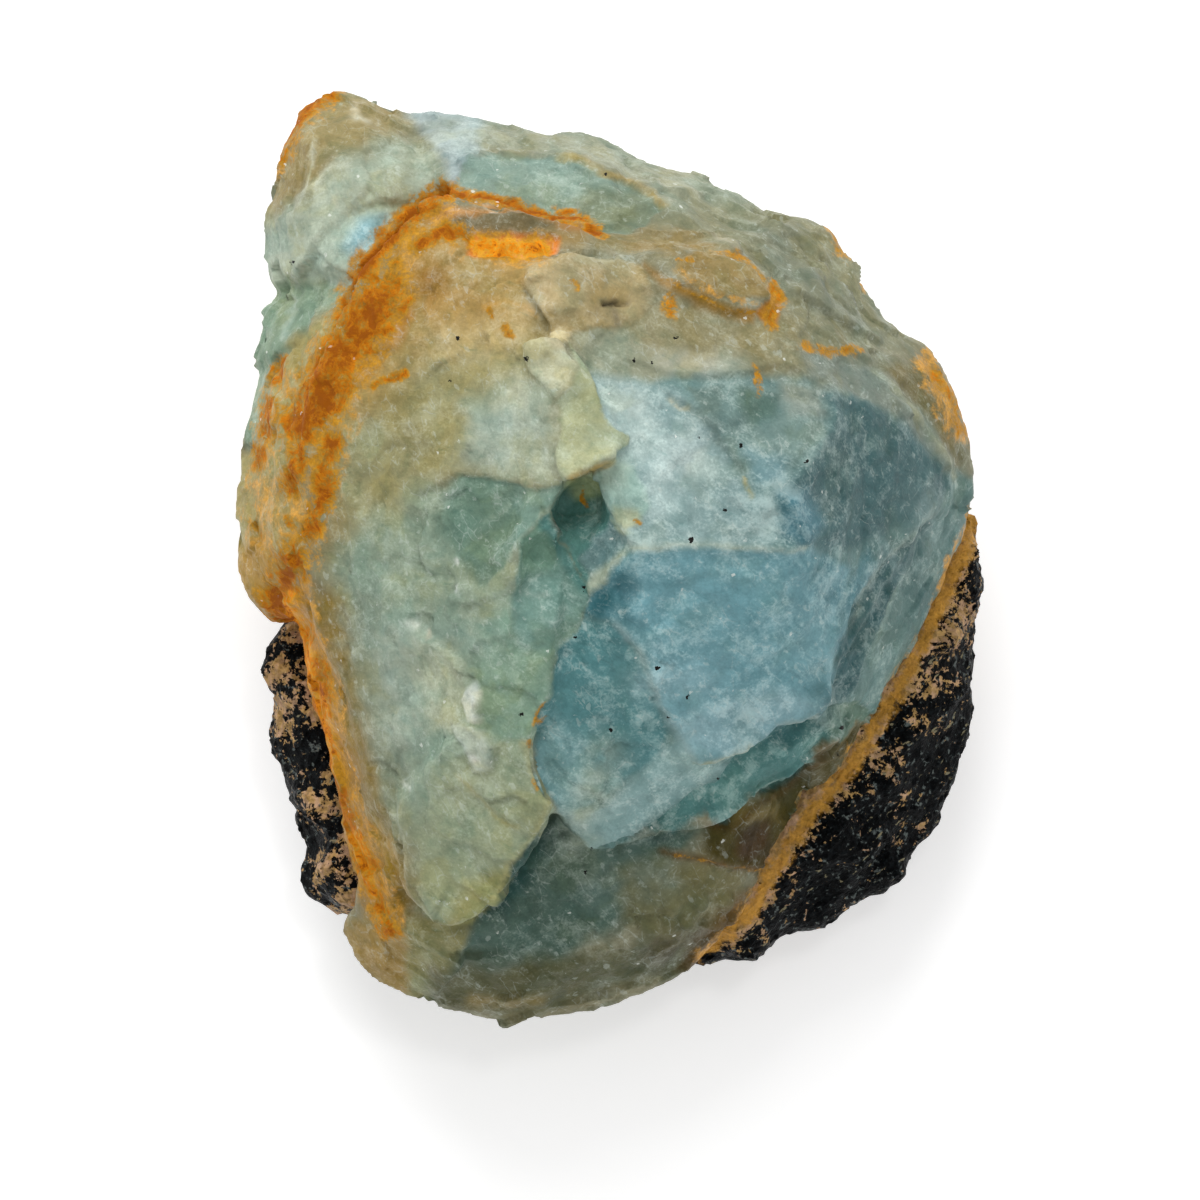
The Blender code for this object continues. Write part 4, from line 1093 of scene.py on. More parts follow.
def chips(points, size, seed):
    """Each point's height on its flat tilted chip, the chip's random tone and the chip's edge distance."""
    scaled = points / size
    home = np.floor(scaled).astype(np.int64)
    nearest = np.full(len(points), 9.0)
    second = np.full(len(points), 9.0)
    height = np.zeros(len(points))
    tone = np.zeros(len(points))
    for step in product((-1, 0, 1), repeat=3):
        cell = home + np.array(step)
        jitter = np.stack([random_at(cell, seed + i) for i in range(3)], 1)
        tilt = random_directions(cell, seed + 3)
        away = scaled - (cell + jitter)
        far = np.sqrt((away * away).sum(1))
        closer = far < nearest
        second = np.where(closer, nearest, np.minimum(second, far))
        height = np.where(closer, (away * tilt).sum(1), height)
        tone = np.where(closer, random_at(cell, seed + 9), tone)
        nearest = np.where(closer, far, nearest)
    return height * size, tone, (second - nearest) * size


def ramp(low, high, values):
    """From 0 at low to 1 at high, eased."""
    share = np.clip((values - low) / (high - low), 0, 1)
    return share * share * (3 - 2 * share)


def bell(far, width, fall=1.0):
    """From 1 on a line or a spot down to 0 away from it."""
    return np.exp(-((far / width) ** 2) * fall)


# Lines, spots and outlines in plan

def in_plan(points):
    return points[:, :2] - PLAN_SHIFT


def spot_distance(plan, x, y):
    return np.hypot(plan[:, 0] - x, plan[:, 1] - y)


def line_distance(plan, line):
    """Distance to an open line, the side of it (over zero to its left) and the share of the way along."""
    line = np.array(line, float)
    best = np.full(len(plan), 1e9)
    side = np.zeros(len(plan))
    share = np.zeros(len(plan))
    lengths = np.linalg.norm(np.diff(line, axis=0), axis=1)
    starts = np.concatenate([[0], np.cumsum(lengths)])
    for i, (a, b) in enumerate(zip(line[:-1], line[1:])):
        run = b - a
        t = np.clip(((plan - a) @ run) / (run @ run), 0, 1)
        away = plan - (a + t[:, None] * run)
        far = np.hypot(away[:, 0], away[:, 1])
        closer = far < best
        turn = run[0] * (plan[:, 1] - a[1]) - run[1] * (plan[:, 0] - a[0])
        side = np.where(closer, np.sign(turn), side)
        share = np.where(closer, (starts[i] + t * lengths[i]) / starts[-1], share)
        best = np.where(closer, far, best)
    return best, side, share


def inside_distance(plan, outline):
    """How far inside an outline each point is, under zero outside."""
    outline = np.array(outline, float)
    closed_line = np.concatenate([outline, outline[:1]])
    far, _, _ = line_distance(plan, closed_line)
    inside = np.zeros(len(plan), bool)
    x, y = plan[:, 0], plan[:, 1]
    for (ax, ay), (bx, by) in zip(closed_line[:-1], closed_line[1:]):
        if ay == by:
            continue
        crosses = ((ay > y) != (by > y)) & (x < (bx - ax) * (y - ay) / (by - ay) + ax)
        inside ^= crosses
    return np.where(inside, far, -far)


# Meshes

WELD = 1e-7  # metres within which the CAD's doubled corners are joined
# How readily cells are taken out by their slope: (from, to, weight), where -1 faces straight down
THINNED_SLOPES = ((-1.1, -0.3, 1.0), (-0.3, 0.05, 0.6), (0.05, 0.2, 0.25))
UNDERSIDE_FIRST = 100.0  # how far those weights go before the rest


def dense_copy(node, name, cell):
    """A copy of a CAD node with its skin divided into even cells. Returns the object."""
    mesh = node.data.copy()
    bm = bmesh.new()
    bm.from_mesh(mesh)
    bmesh.ops.remove_doubles(bm, verts=bm.verts, dist=WELD)
    bm.to_mesh(mesh)
    bm.free()
    obj = bpy.data.objects.new(name, mesh)
    bpy.context.scene.collection.objects.link(obj)
    modifier = obj.modifiers.new("Cells", "REMESH")
    modifier.mode = "VOXEL"
    modifier.voxel_size = cell * MM
    bake_modifiers(obj)
    obj.data.name = name
    obj.data.materials.clear()
    return obj


def bake_modifiers(obj):
    """Puts the mesh that an object's modifiers make in the place of its own."""
    bpy.context.view_layer.update()
    evaluated = obj.evaluated_get(bpy.context.evaluated_depsgraph_get())
    baked = bpy.data.meshes.new_from_object(evaluated)
    obj.modifiers.clear()
    obj.data = baked


def thin_underside(obj, triangles):
    """Fewer cells where the surface faces down, so that the rest can stay fine."""
    mesh = obj.data
    facing = eased(normals_of(mesh), edges_of(mesh), 3)[:, 2]
    group = obj.vertex_groups.new(name="underside")
    for low, high, weight in THINNED_SLOPES:
        chosen = np.flatnonzero((facing >= low) & (facing < high))
        group.add(chosen.tolist(), weight, "REPLACE")
    modifier = obj.modifiers.new("Thin", "DECIMATE")
    modifier.ratio = triangles / (2 * len(mesh.polygons))
    modifier.vertex_group = group.name
    modifier.vertex_group_factor = UNDERSIDE_FIRST
    bake_modifiers(obj)
    obj.vertex_groups.clear()


def read_rows(items, name, width, kind):
    """One property of all of a mesh's vertices or edges, as rows."""
    values = np.empty(len(items) * width, kind)
    items.foreach_get(name, values)
    return values.reshape(-1, width)


def points_of(mesh):
    """The mesh's points in millimetres."""
    return read_rows(mesh.vertices, "co", 3, np.float32).astype(float) / MM


def normals_of(mesh):
    return read_rows(mesh.vertices, "normal", 3, np.float32).astype(float)


def edges_of(mesh):
    return read_rows(mesh.edges, "vertices", 2, np.int32)


def set_points(mesh, points):
    mesh.vertices.foreach_set("co", (points * MM).astype(np.float32).ravel())
    mesh.update()


def set_colour(mesh, name, colours):
    layer = mesh.attributes.new(name, "FLOAT_COLOR", "POINT")
    full = np.concatenate([colours, np.ones((len(colours), 1))], 1)
    layer.data.foreach_set("color", full.astype(np.float32).ravel())


def set_value(mesh, name, values):
    layer = mesh.attributes.new(name, "FLOAT", "POINT")
    layer.data.foreach_set("value", values.astype(np.float32))


def set_smooth(mesh, smooth):
    mesh.polygons.foreach_set("use_smooth", [smooth] * len(mesh.polygons))


def eased(values, edges, rounds):
    """Values averaged with their neighbours', for a number of rounds."""
    count = np.bincount(edges.ravel(), minlength=len(values)).clip(1)
    for _ in range(rounds):
        total = np.stack([
            np.bincount(edges[:, 0], values[edges[:, 1], i], len(values))
            + np.bincount(edges[:, 1], values[edges[:, 0], i], len(values))
            for i in range(values.shape[1])
        ], 1)
        values = values + (total / count[:, None] - values) * 0.5
    return values


# Where plates run into the stone without a step: (x, y, radius)
SOFTENED = [(0.4, 13.0, 2.0), (-1.2, 11.2, 1.1), (-3.6, 13.0, 0.8), (-0.1, -2.2, 0.9)]
SOFT_ROUNDS = 160
SOFT_ABOVE = 15.0  # millimetres over the floor


def softened(points, edges):
    """The points with those places smoothed out."""
    soft = eased(points, edges, SOFT_ROUNDS)
    plan = in_plan(points)
    far = [spot_distance(plan, x, y) / radius for x, y, radius in SOFTENED]
    share = np.exp(-np.min(far, axis=0) ** 4)[:, None] * (points[:, 2:] > SOFT_ABOVE)
    return points + (soft - points) * share


def settled(mesh, points, edges):
    """Puts the points in the mesh. Returns them with their eased normals."""
    set_points(mesh, points)
    normals = eased(normals_of(mesh), edges, 1)
    return points, normals / np.linalg.norm(normals, axis=1)[:, None]


def distance_to(points, others, step=3):
    """Each point's distance to the nearest of the others, of which one in a few is read."""
    chosen = others[::step]
    tree = KDTree(len(chosen))
    for i, place in enumerate(chosen):
        tree.insert(place, i)
    tree.balance()
    return np.array([tree.find(place)[2] for place in points])


# Where the outline stands out or in: (x, y, radius, push along x, push along y)
PUSHES = [
    (-17.0, 12.4, 1.8, -0.45, 0.15), (18.6, 1.8, 2.4, 0.35, 0.0),
    (18.2, -3.4, 1.4, 0.35, 0.0), (17.9, -8.6, 1.8, 0.30, -0.1), (17.2, -12.2, 1.4, 0.25, -0.15),
    (-17.2, -6.6, 2.0, -0.45, 0.0), (-16.2, -11.6, 1.6, -0.3, -0.1),
    (5.6, -20.9, 1.6, -0.20, 0.45),
    (-14.5, -16.4, 2.0, -0.55, -0.3), (-3.9, 21.4, 1.8, 0.1, -0.4),
    (16.3, -13.7, 1.6, 0.2, -0.15), (13.0, -16.6, 1.6, 0.15, -0.2), (18.6, 0.0, 1.4, 0.2, 0.0),
]
PUSH_FALL = 1.2


def pushed(points):
    """The points with the outline's stretches moved out or in."""
    plan = in_plan(points)
    moved = points.copy()
    for x, y, radius, push_x, push_y in PUSHES:
        share = bell(spot_distance(plan, x, y), radius, PUSH_FALL)
        moved[:, 0] += push_x * share
        moved[:, 1] += push_y * share
    return moved


def seam_swell(far):
    """How much a side swells at this distance from the other one."""
    return SEAM_FILL * ramp(1.2, 0.4, far)


# Relief of the aquamarine

CLIFF = (-0.1, 0.12)  # a ledge rises between these distances from its line
LEDGE_FALL = 1.4  # power by which its height falls off over its reach
LEDGE_TAPER = 0.12  # share of its length over which each end runs out
CREST_TAPER = 0.1
BLUE_OUTLINE = LAYERS["sheets"]["borders"]["blue mass"][0]
# Chips: (stretch along each axis, size, seed, height)
STONE_CHIPS = (
    ((1, 1, 1.3), 2.6, 101, 0.09),
    ((1.2, 0.9, 1), 1.15, 131, 0.05),
    ((1.0, 1.2, 1), 0.62, 151, 0.02),
)
RIB_DIRECTION = np.array([0.62, -0.74, 0.25])
RIB_HEIGHT = 0.010


def ledge(height, rise, fall, reach):
    """A cliff at the ledge's line, and a slope that falls off behind it."""
    return height * ramp(*CLIFF, rise) * np.clip(1 - fall / reach, 0, 1) ** LEDGE_FALL


def tapered(share, taper):
    """From 0 to 1 and back to 0 along a line."""
    return ramp(0, taper, share) * ramp(0, taper, 1 - share)


def ledge_relief(plan):
    """Height of the sheets' borders, ledges, crests, grooves and lumps."""
    total = np.zeros(len(plan))
    for layer in LAYERS.values():
        for border, height, reach in layer["borders"].values():
            if height:
                depth = inside_distance(plan, border)
                total += ledge(height, depth, depth, reach)
    for line, height, reach in LEDGES.values():
        far, side, share = line_distance(plan, line)
        high_side = side if height > 0 else -side
        step = ledge(abs(height), far * high_side, far, reach)
        total += step * tapered(share, LEDGE_TAPER)
    for line, height, width in CRESTS.values():
        far, _, share = line_distance(plan, line)
        ends = tapered(share, CREST_TAPER) if len(line) > 2 else 1
        total += height * bell(far, width) * ends
    for x, y, radius, height in LUMPS:
        far = spot_distance(plan, x, y) / radius
        total += height * np.sqrt(np.clip(1 - far * far, 0, 1))
    return total


def stone_relief(points, normals, plan):
    """Height along the normal, and the chips' tones: named ledges where they are seen, chips all over."""
    seen = ramp(0.1, 0.45, normals[:, 2])
    steep = ramp(0.7, 0.15, normals[:, 2])
    relief = ledge_relief(plan + wander(points, 1.2, 2, 31) * 0.09) * seen
    roughness = 1 - 0.45 * ramp(-1.5, 2.5, inside_distance(plan, BLUE_OUTLINE)) + 0.4 * steep
    places = uneven(points, 3.0, 0.5, 61)
    chipped = np.zeros(len(points))
    tones = []
    for stretch, size, seed, height in STONE_CHIPS:
        chip, tone, _ = chips(places * stretch, size, seed)
        chipped += chip * height
        tones.append(tone)
    relief += chipped * roughness
    relief += layered(points, 2.2, 2, 171) * 0.06
    ribs = np.sin(points @ RIB_DIRECTION * 5.2 + layered(points, 2.4, 2, 181) * 3.2)
    relief += ribs * RIB_HEIGHT * ramp(-0.3, 0.8, layered(points, 4.0, 2, 187))
    wide_tone, middle_tone, _ = tones
    return relief, middle_tone * 0.55 + wide_tone * 0.45


# Colours of the aquamarine

UNDERSIDE_TINT = (126, 136, 112)
CRISP = 0.13  # half width of a sheet's border


def blend(tint, over, share):
    """The tint with another one over it, by each point's share."""
    return tint + (over - tint) * share[:, None]


def painted(tint, plan, colours):
    """The tint with soft colour zones over it."""
    for outline, colour, softness in colours.values():
        tint = blend(tint, srgb(*colour), ramp(-softness, softness, inside_distance(plan, outline)))
    return tint


def stone_tint(points, normals, plan):
    """Each point's colour from the ground, the sheets over it and the strokes."""
    soft_plan = plan + wander(points, 2.2, 3, 201) * 0.30
    crisp_plan = plan + wander(points, 0.9, 3, 221) * 0.11
    tint = painted(np.tile(srgb(*BASE_TINT), (len(points), 1)), soft_plan, GROUND)
    for layer in LAYERS.values():
        depths = [inside_distance(crisp_plan, border) for border, _, _ in layer["borders"].values()]
        cover = ramp(-CRISP, CRISP, np.max(depths, axis=0))
        tint = blend(tint, painted(tint, crisp_plan, layer["colours"]), cover)
    patchy = 0.8 + 0.4 * smooth_noise(points / 0.8, 241)
    for line, width, colour, strength in STROKES.values():
        far, _, _ = line_distance(crisp_plan, line)
        tint = blend(tint, srgb(*colour), np.clip(bell(far, width) * strength * patchy, 0, 1))
    under = ramp(0.05, -0.35, normals[:, 2])[:, None]
    return tint + (srgb(*UNDERSIDE_TINT) - tint) * under * 0.8


def stain_amount(points, plan, stains):
    """How much of a stain each point has, from the stain's lines: a core and a wide fringe."""
    drifted = plan + wander(points, 1.0, 3, 301) * 0.22
    amount = np.zeros(len(points))
    for line, width, strength in stains.values():
        far, _, _ = line_distance(drifted, line)
        core = bell(far, width, 0.8)
        fringe = bell(far, width, 0.16)
        amount = np.maximum(amount, strength * (core * 0.68 + fringe * 0.32))
    return amount


# Aquamarine

STONE_ROUNDS = 4  # of smoothing, before the relief


def make_stone(node):
    stone = dense_copy(node, "aquamarine_body", FINE)
    thin_underside(stone, STONE_FACES)
    edges = edges_of(stone.data)
    points = softened(eased(points_of(stone.data), edges, STONE_ROUNDS), edges)
    return stone, *settled(stone.data, points, edges)


def paint_stone(stone, points, normals, to_bed):
    """Puts the relief, the colours and the stains on the stone."""
    mesh = stone.data
    plan = in_plan(points)
    relief, tone = stone_relief(points, normals, plan)
    set_points(mesh, pushed(points + normals * (relief + seam_swell(to_bed))[:, None]))
    set_colour(mesh, "tint", stone_tint(points, normals, plan))
    set_value(mesh, "rust", stain_amount(points, plan, RUST))
    set_value(mesh, "gold", np.maximum(stain_amount(points, plan, GOLD), ramp(0.9, 0.2, to_bed) * 0.85))
    set_value(mesh, "chip", tone)
    set_smooth(mesh, True)


# Black tourmaline

BED_ROUNDS = 20  # of smoothing, before the grains
# Where tan grains show among the black ones: (x, y, radius, amount)
TAN_PATCHES = [
    (17.3, -2.6, 0.8, 0.8), (17.1, -4.0, 0.7, 0.7), (15.8, -6.0, 0.9, 0.8), (17.0, -6.3, 0.6, 0.65),
    (15.5, -8.2, 0.6, 0.5), (16.3, -8.6, 0.4, 0.4), (13.7, -10.2, 0.8, 0.75), (12.8, -11.3, 0.6, 0.5),
    (14.7, -13.2, 0.35, 0.6), (15.5, -13.4, 0.3, 0.5), (14.5, -14.3, 0.3, 0.5), (12.2, -12.5, 0.4, 0.5),
    (14.8, -12.0, 0.3, 0.5), (17.9, 0.6, 0.7, 0.6), (9.2, -16.4, 0.4, 0.35), (7.4, -19.0, 0.6, 0.35),
    (-16.4, -7.4, 0.7, 0.9), (-16.3, -8.5, 0.6, 0.8), (-16.2, -5.8, 0.7, 0.9), (-15.4, -6.5, 0.5, 0.6),
    (-14.0, -15.5, 0.6, 0.8), (-14.4, -12.3, 0.7, 0.9), (-13.3, -17.8, 0.7, 0.7), (-15.2, -10.6, 0.4, 0.5),
]
TAN_FALL = 0.6


def make_bed(node):
    bed = dense_copy(node, "black_tourmaline_bed", BED_FINE)
    edges = edges_of(bed.data)
    points = eased(points_of(bed.data), edges, BED_ROUNDS)
    return bed, *settled(bed.data, points, edges)


def bed_relief(points):
    """Height of the bed's grains: wide lumps, tilted grains that stand high or low, and small ones."""
    places = uneven(points, 1.5, 0.25, 401)
    wide, _, _ = chips(places, 2.4, 421)
    grain, tone, edge = chips(places, 0.75, 441)
    small, _, _ = chips(places, 0.45, 461)
    return wide * 0.05 + grain * 0.13 + (tone - 0.5) * 0.10 * ramp(0, 0.15, edge) + small * 0.16


def bed_tan(plan):
    amount = np.zeros(len(plan))
    for x, y, radius, much in TAN_PATCHES:
        amount = np.maximum(amount, much * bell(spot_distance(plan, x, y), radius, TAN_FALL))
    return amount


def paint_bed(bed, points, normals, to_stone):
    """Puts the grains and the stains on the bed, which stays flat where it rests on the floor."""
    mesh = bed.data
    plan = in_plan(points)
    relief = bed_relief(points) * ramp(0.25, 1.2, points[:, 2])
    moved = points + normals * (relief + seam_swell(to_stone))[:, None]
    moved[:, 2] = np.maximum(moved[:, 2], 0.0)
    set_points(mesh, pushed(moved))
    set_value(mesh, "seam", ramp(2.4, 0.4, to_stone))
    set_value(mesh, "tan", bed_tan(plan))
    right = ramp(-1, 1, plan[:, 0])
    golden = np.maximum(stain_amount(points, plan, GOLD) * right, ramp(0.8, 0.3, to_stone) * 0.6)
    set_value(mesh, "rust", np.zeros(len(points)))
    set_value(mesh, "gold", golden)
    set_smooth(mesh, False)


# Shaders

WARM = srgb(255, 244, 214)
COOL = srgb(222, 240, 246)
DEEP = srgb(202, 220, 220)
MILK_AND_HIGHLIGHT = srgb(206, 216, 208)
HALO = srgb(175, 126, 28)
RUSTY = srgb(176, 103, 0)
BURNT = srgb(146, 76, 0)
SEAM_GOLD = srgb(204, 150, 62)
SPARKLE_HIGHLIGHT = srgb(236, 240, 232)
BLACK = srgb(16, 16, 14)
COAL = srgb(1, 2, 3)
SLATE = srgb(18, 23, 25)
BED_TAN = srgb(196, 158, 100)
BED_PINK = srgb(192, 156, 124)
FLECK = srgb(150, 142, 112)
GLINT = srgb(112, 121, 118)

AQUAMARINE_IOR = 1.57
AQUAMARINE_GLOSS = 0.11
TOURMALINE_IOR = 1.62
TOURMALINE_GLOSS = 0.05

# A Mix node's sockets for colours
MIX_FIRST = 6
MIX_SECOND = 7
MIX_RESULT = 2


class Graph:
    """A material's node tree, with short ways to add what the materials use. Sizes are in millimetres."""

    def __init__(self, name):
        self.material = bpy.data.materials.new(name)
        self.material.use_nodes = True
        self.tree = self.material.node_tree
        self.shader = self.tree.nodes["Principled BSDF"]
        self.place = self.scaled(self.add("ShaderNodeTexCoord").outputs["Object"], 1 / MM)

    def add(self, kind, **settings):
        node = self.tree.nodes.new(kind)
        for key, value in settings.items():
            setattr(node, key, value)
        return node

    def link(self, source, target):
        """Connects a socket to another, or sets a constant number, vector or colour on it."""
        if isinstance(source, (int, float)):
            target.default_value = source
        elif isinstance(source, (tuple, np.ndarray)):
            target.default_value = (*source[:3], 1.0) if len(target.default_value) == 4 else source
        else:
            self.tree.links.new(source, target)

    def link_all(self, sources, node):
        for source, target in zip(sources, node.inputs):
            self.link(source, target)

    def set(self, **values):
        """Sets or connects the shader's own sockets."""
        for key, value in values.items():
            self.link(value, self.shader.inputs[key.replace("_", " ")])

    def read(self, name, output="Fac"):
        return self.add("ShaderNodeAttribute", attribute_name=name).outputs[output]

    def direction(self):
        return self.add("ShaderNodeNewGeometry").outputs["Normal"]

    def math(self, operation, *values):
        node = self.add("ShaderNodeMath", operation=operation)
        self.link_all(values, node)
        return node.outputs[0]

    def times(self, first, second):
        return self.math("MULTIPLY", first, second)

    def vector(self, operation, *values, output="Vector"):
        node = self.add("ShaderNodeVectorMath", operation=operation)
        self.link_all(values, node)
        return node.outputs[output]

    def scaled(self, colour, factor):
        node = self.add("ShaderNodeVectorMath", operation="SCALE")
        self.link(colour, node.inputs[0])
        self.link(factor, node.inputs["Scale"])
        return node.outputs["Vector"]

    def between(self, value, low, high, out_low=0.0, out_high=1.0):
        """From one value at low to another at high, eased."""
        node = self.add("ShaderNodeMapRange", interpolation_type="SMOOTHSTEP")
        self.link_all((value, low, high, out_low, out_high), node)
        return node.outputs[0]

    def mix(self, share, first, second, blend="MIX"):
        node = self.add("ShaderNodeMix", data_type="RGBA", blend_type=blend)
        self.link(share, node.inputs[0])
        self.link(first, node.inputs[MIX_FIRST])
        self.link(second, node.inputs[MIX_SECOND])
        return node.outputs[MIX_RESULT]

    def swing(self, base, *parts):
        """A base value plus each noise's swing about its middle, at its weight."""
        total = base
        for noise, weight in parts:
            total = self.math("MULTIPLY_ADD", self.math("SUBTRACT", noise, 0.5), weight, total)
        return total

    def stretched(self, turn, lengths):
        """Places for a texture drawn out along its own axes, which are turned by these degrees."""
        node = self.add("ShaderNodeMapping", vector_type="TEXTURE")
        self.link(self.place, node.inputs["Vector"])
        node.inputs["Rotation"].default_value = [math.radians(angle) for angle in turn]
        node.inputs["Scale"].default_value = lengths
        return node.outputs[0]

    def texture(self, kind, size, where, **settings):
        node = self.add(kind, **settings)
        self.link(where or self.place, node.inputs["Vector"])
        node.inputs["Scale"].default_value = 1 / size
        return node

    def noise(self, size, detail=3.0, where=None, warp=0.0, rough=0.55):
        node = self.texture("ShaderNodeTexNoise", size, where)
        node.inputs["Detail"].default_value = detail
        node.inputs["Roughness"].default_value = rough
        node.inputs["Distortion"].default_value = warp
        return node.outputs[0]

    def pushed(self, size, amount, where):
        """Places pushed about, for cells with uneven borders."""
        node = self.texture("ShaderNodeTexNoise", size, None)
        node.inputs["Detail"].default_value = 4.0
        return self.vector("MULTIPLY_ADD", node.outputs["Color"], (amount, amount, amount), where)

    def cells(self, size, where=None):
        """A random colour for each cell."""
        return self.texture("ShaderNodeTexVoronoi", size, where).outputs["Color"]

    def cell_rims(self, size, where):
        """1 on the cells' borders and 0 inside them."""
        node = self.texture("ShaderNodeTexVoronoi", size, where, feature="DISTANCE_TO_EDGE")
        return self.between(node.outputs["Distance"], 0.05, 0.0)

    def one_of(self, colour, band="Red"):
        parts = self.add("ShaderNodeSeparateColor")
        self.link(colour, parts.inputs[0])
        return parts.outputs[band]

    def tilted(self, colour, amount):
        """The surface's direction, tilted at random from cell to cell."""
        centred = self.vector("SUBTRACT", colour, (0.5, 0.5, 0.5))
        tilt = self.vector("MULTIPLY_ADD", centred, (amount, amount, amount), self.direction())
        return self.vector("NORMALIZE", tilt)

    def bump(self, height, distance, strength=1.0, normal=None):
        node = self.add("ShaderNodeBump")
        if normal:
            self.link(normal, node.inputs["Normal"])
        node.inputs["Distance"].default_value = distance * MM
        node.inputs["Strength"].default_value = strength
        self.link(height, node.inputs["Height"])
        return node.outputs[0]


def speck_mask(graph):
    """1 on the black specks, which are round spots in plan with uneven edges."""
    flat = graph.vector("MULTIPLY", graph.place, (1, 1, 0))
    ragged = graph.swing(0.0, (graph.noise(0.16, 2.0), 0.45))
    nearest = 1.0
    for x, y, radius in SPECKS:
        middle = (x + PLAN_SHIFT[0], y + PLAN_SHIFT[1], 0)
        far = graph.vector("DISTANCE", flat, middle, output="Value")
        nearest = graph.math("MINIMUM", nearest, graph.math("SUBTRACT", far, radius))
    inside = graph.math("LESS_THAN", graph.math("ADD", nearest, ragged), 0.0)
    parts = graph.add("ShaderNodeSeparateXYZ")
    graph.link(graph.direction(), parts.inputs[0])
    return graph.times(inside, graph.math("GREATER_THAN", parts.outputs["Z"], 0.2))


def stained(graph, colour, grain):
    """The colour under gold and rust, and the rust's amount. Rust is golden at its edge and burnt inside."""
    rust = graph.read("rust")
    gold = graph.read("gold")
    ragged = graph.noise(1.0, 6.0, warp=0.8, rough=0.74)
    patchy = graph.noise(0.55, 3.0, warp=0.6, rough=0.62)
    sheet = graph.swing(gold, (ragged, 2.0), (patchy, 1.2))
    sheet = graph.times(sheet, graph.between(gold, 0.02, 0.30))
    golden = graph.scaled(SEAM_GOLD, graph.swing(1.0, (patchy, 1.2), (grain, 1.0)))
    colour = graph.mix(graph.between(sheet, 0.10, 0.80, 0.0, 0.9), colour, golden)
    spread = graph.swing(0.0, (ragged, 3.4), (patchy, 1.8), (grain, 0.8))
    spread = graph.times(spread, graph.between(rust, 0.0, 0.8, 0.3, 1.0))
    amount = graph.times(graph.math("ADD", rust, spread), graph.between(rust, 0.03, 0.25))
    ground = graph.read("tint", "Color")
    orange = graph.math("SUBTRACT", graph.one_of(ground, "Red"), graph.one_of(ground, "Blue"))
    # The rust is brighter over orange ground
    tone = graph.swing(graph.between(orange, 0.42, 0.70, 1.0, 1.55), (patchy, 1.6), (grain, 1.0))
    colour = graph.mix(graph.between(amount, 0.02, 0.42, 0.0, 0.90), colour, graph.scaled(HALO, tone))
    colour = graph.mix(graph.between(amount, 0.42, 0.85, 0.0, 0.95), colour, graph.scaled(RUSTY, tone))
    return graph.mix(graph.between(amount, 0.85, 1.20, 0.0, 0.90), colour, BURNT), amount


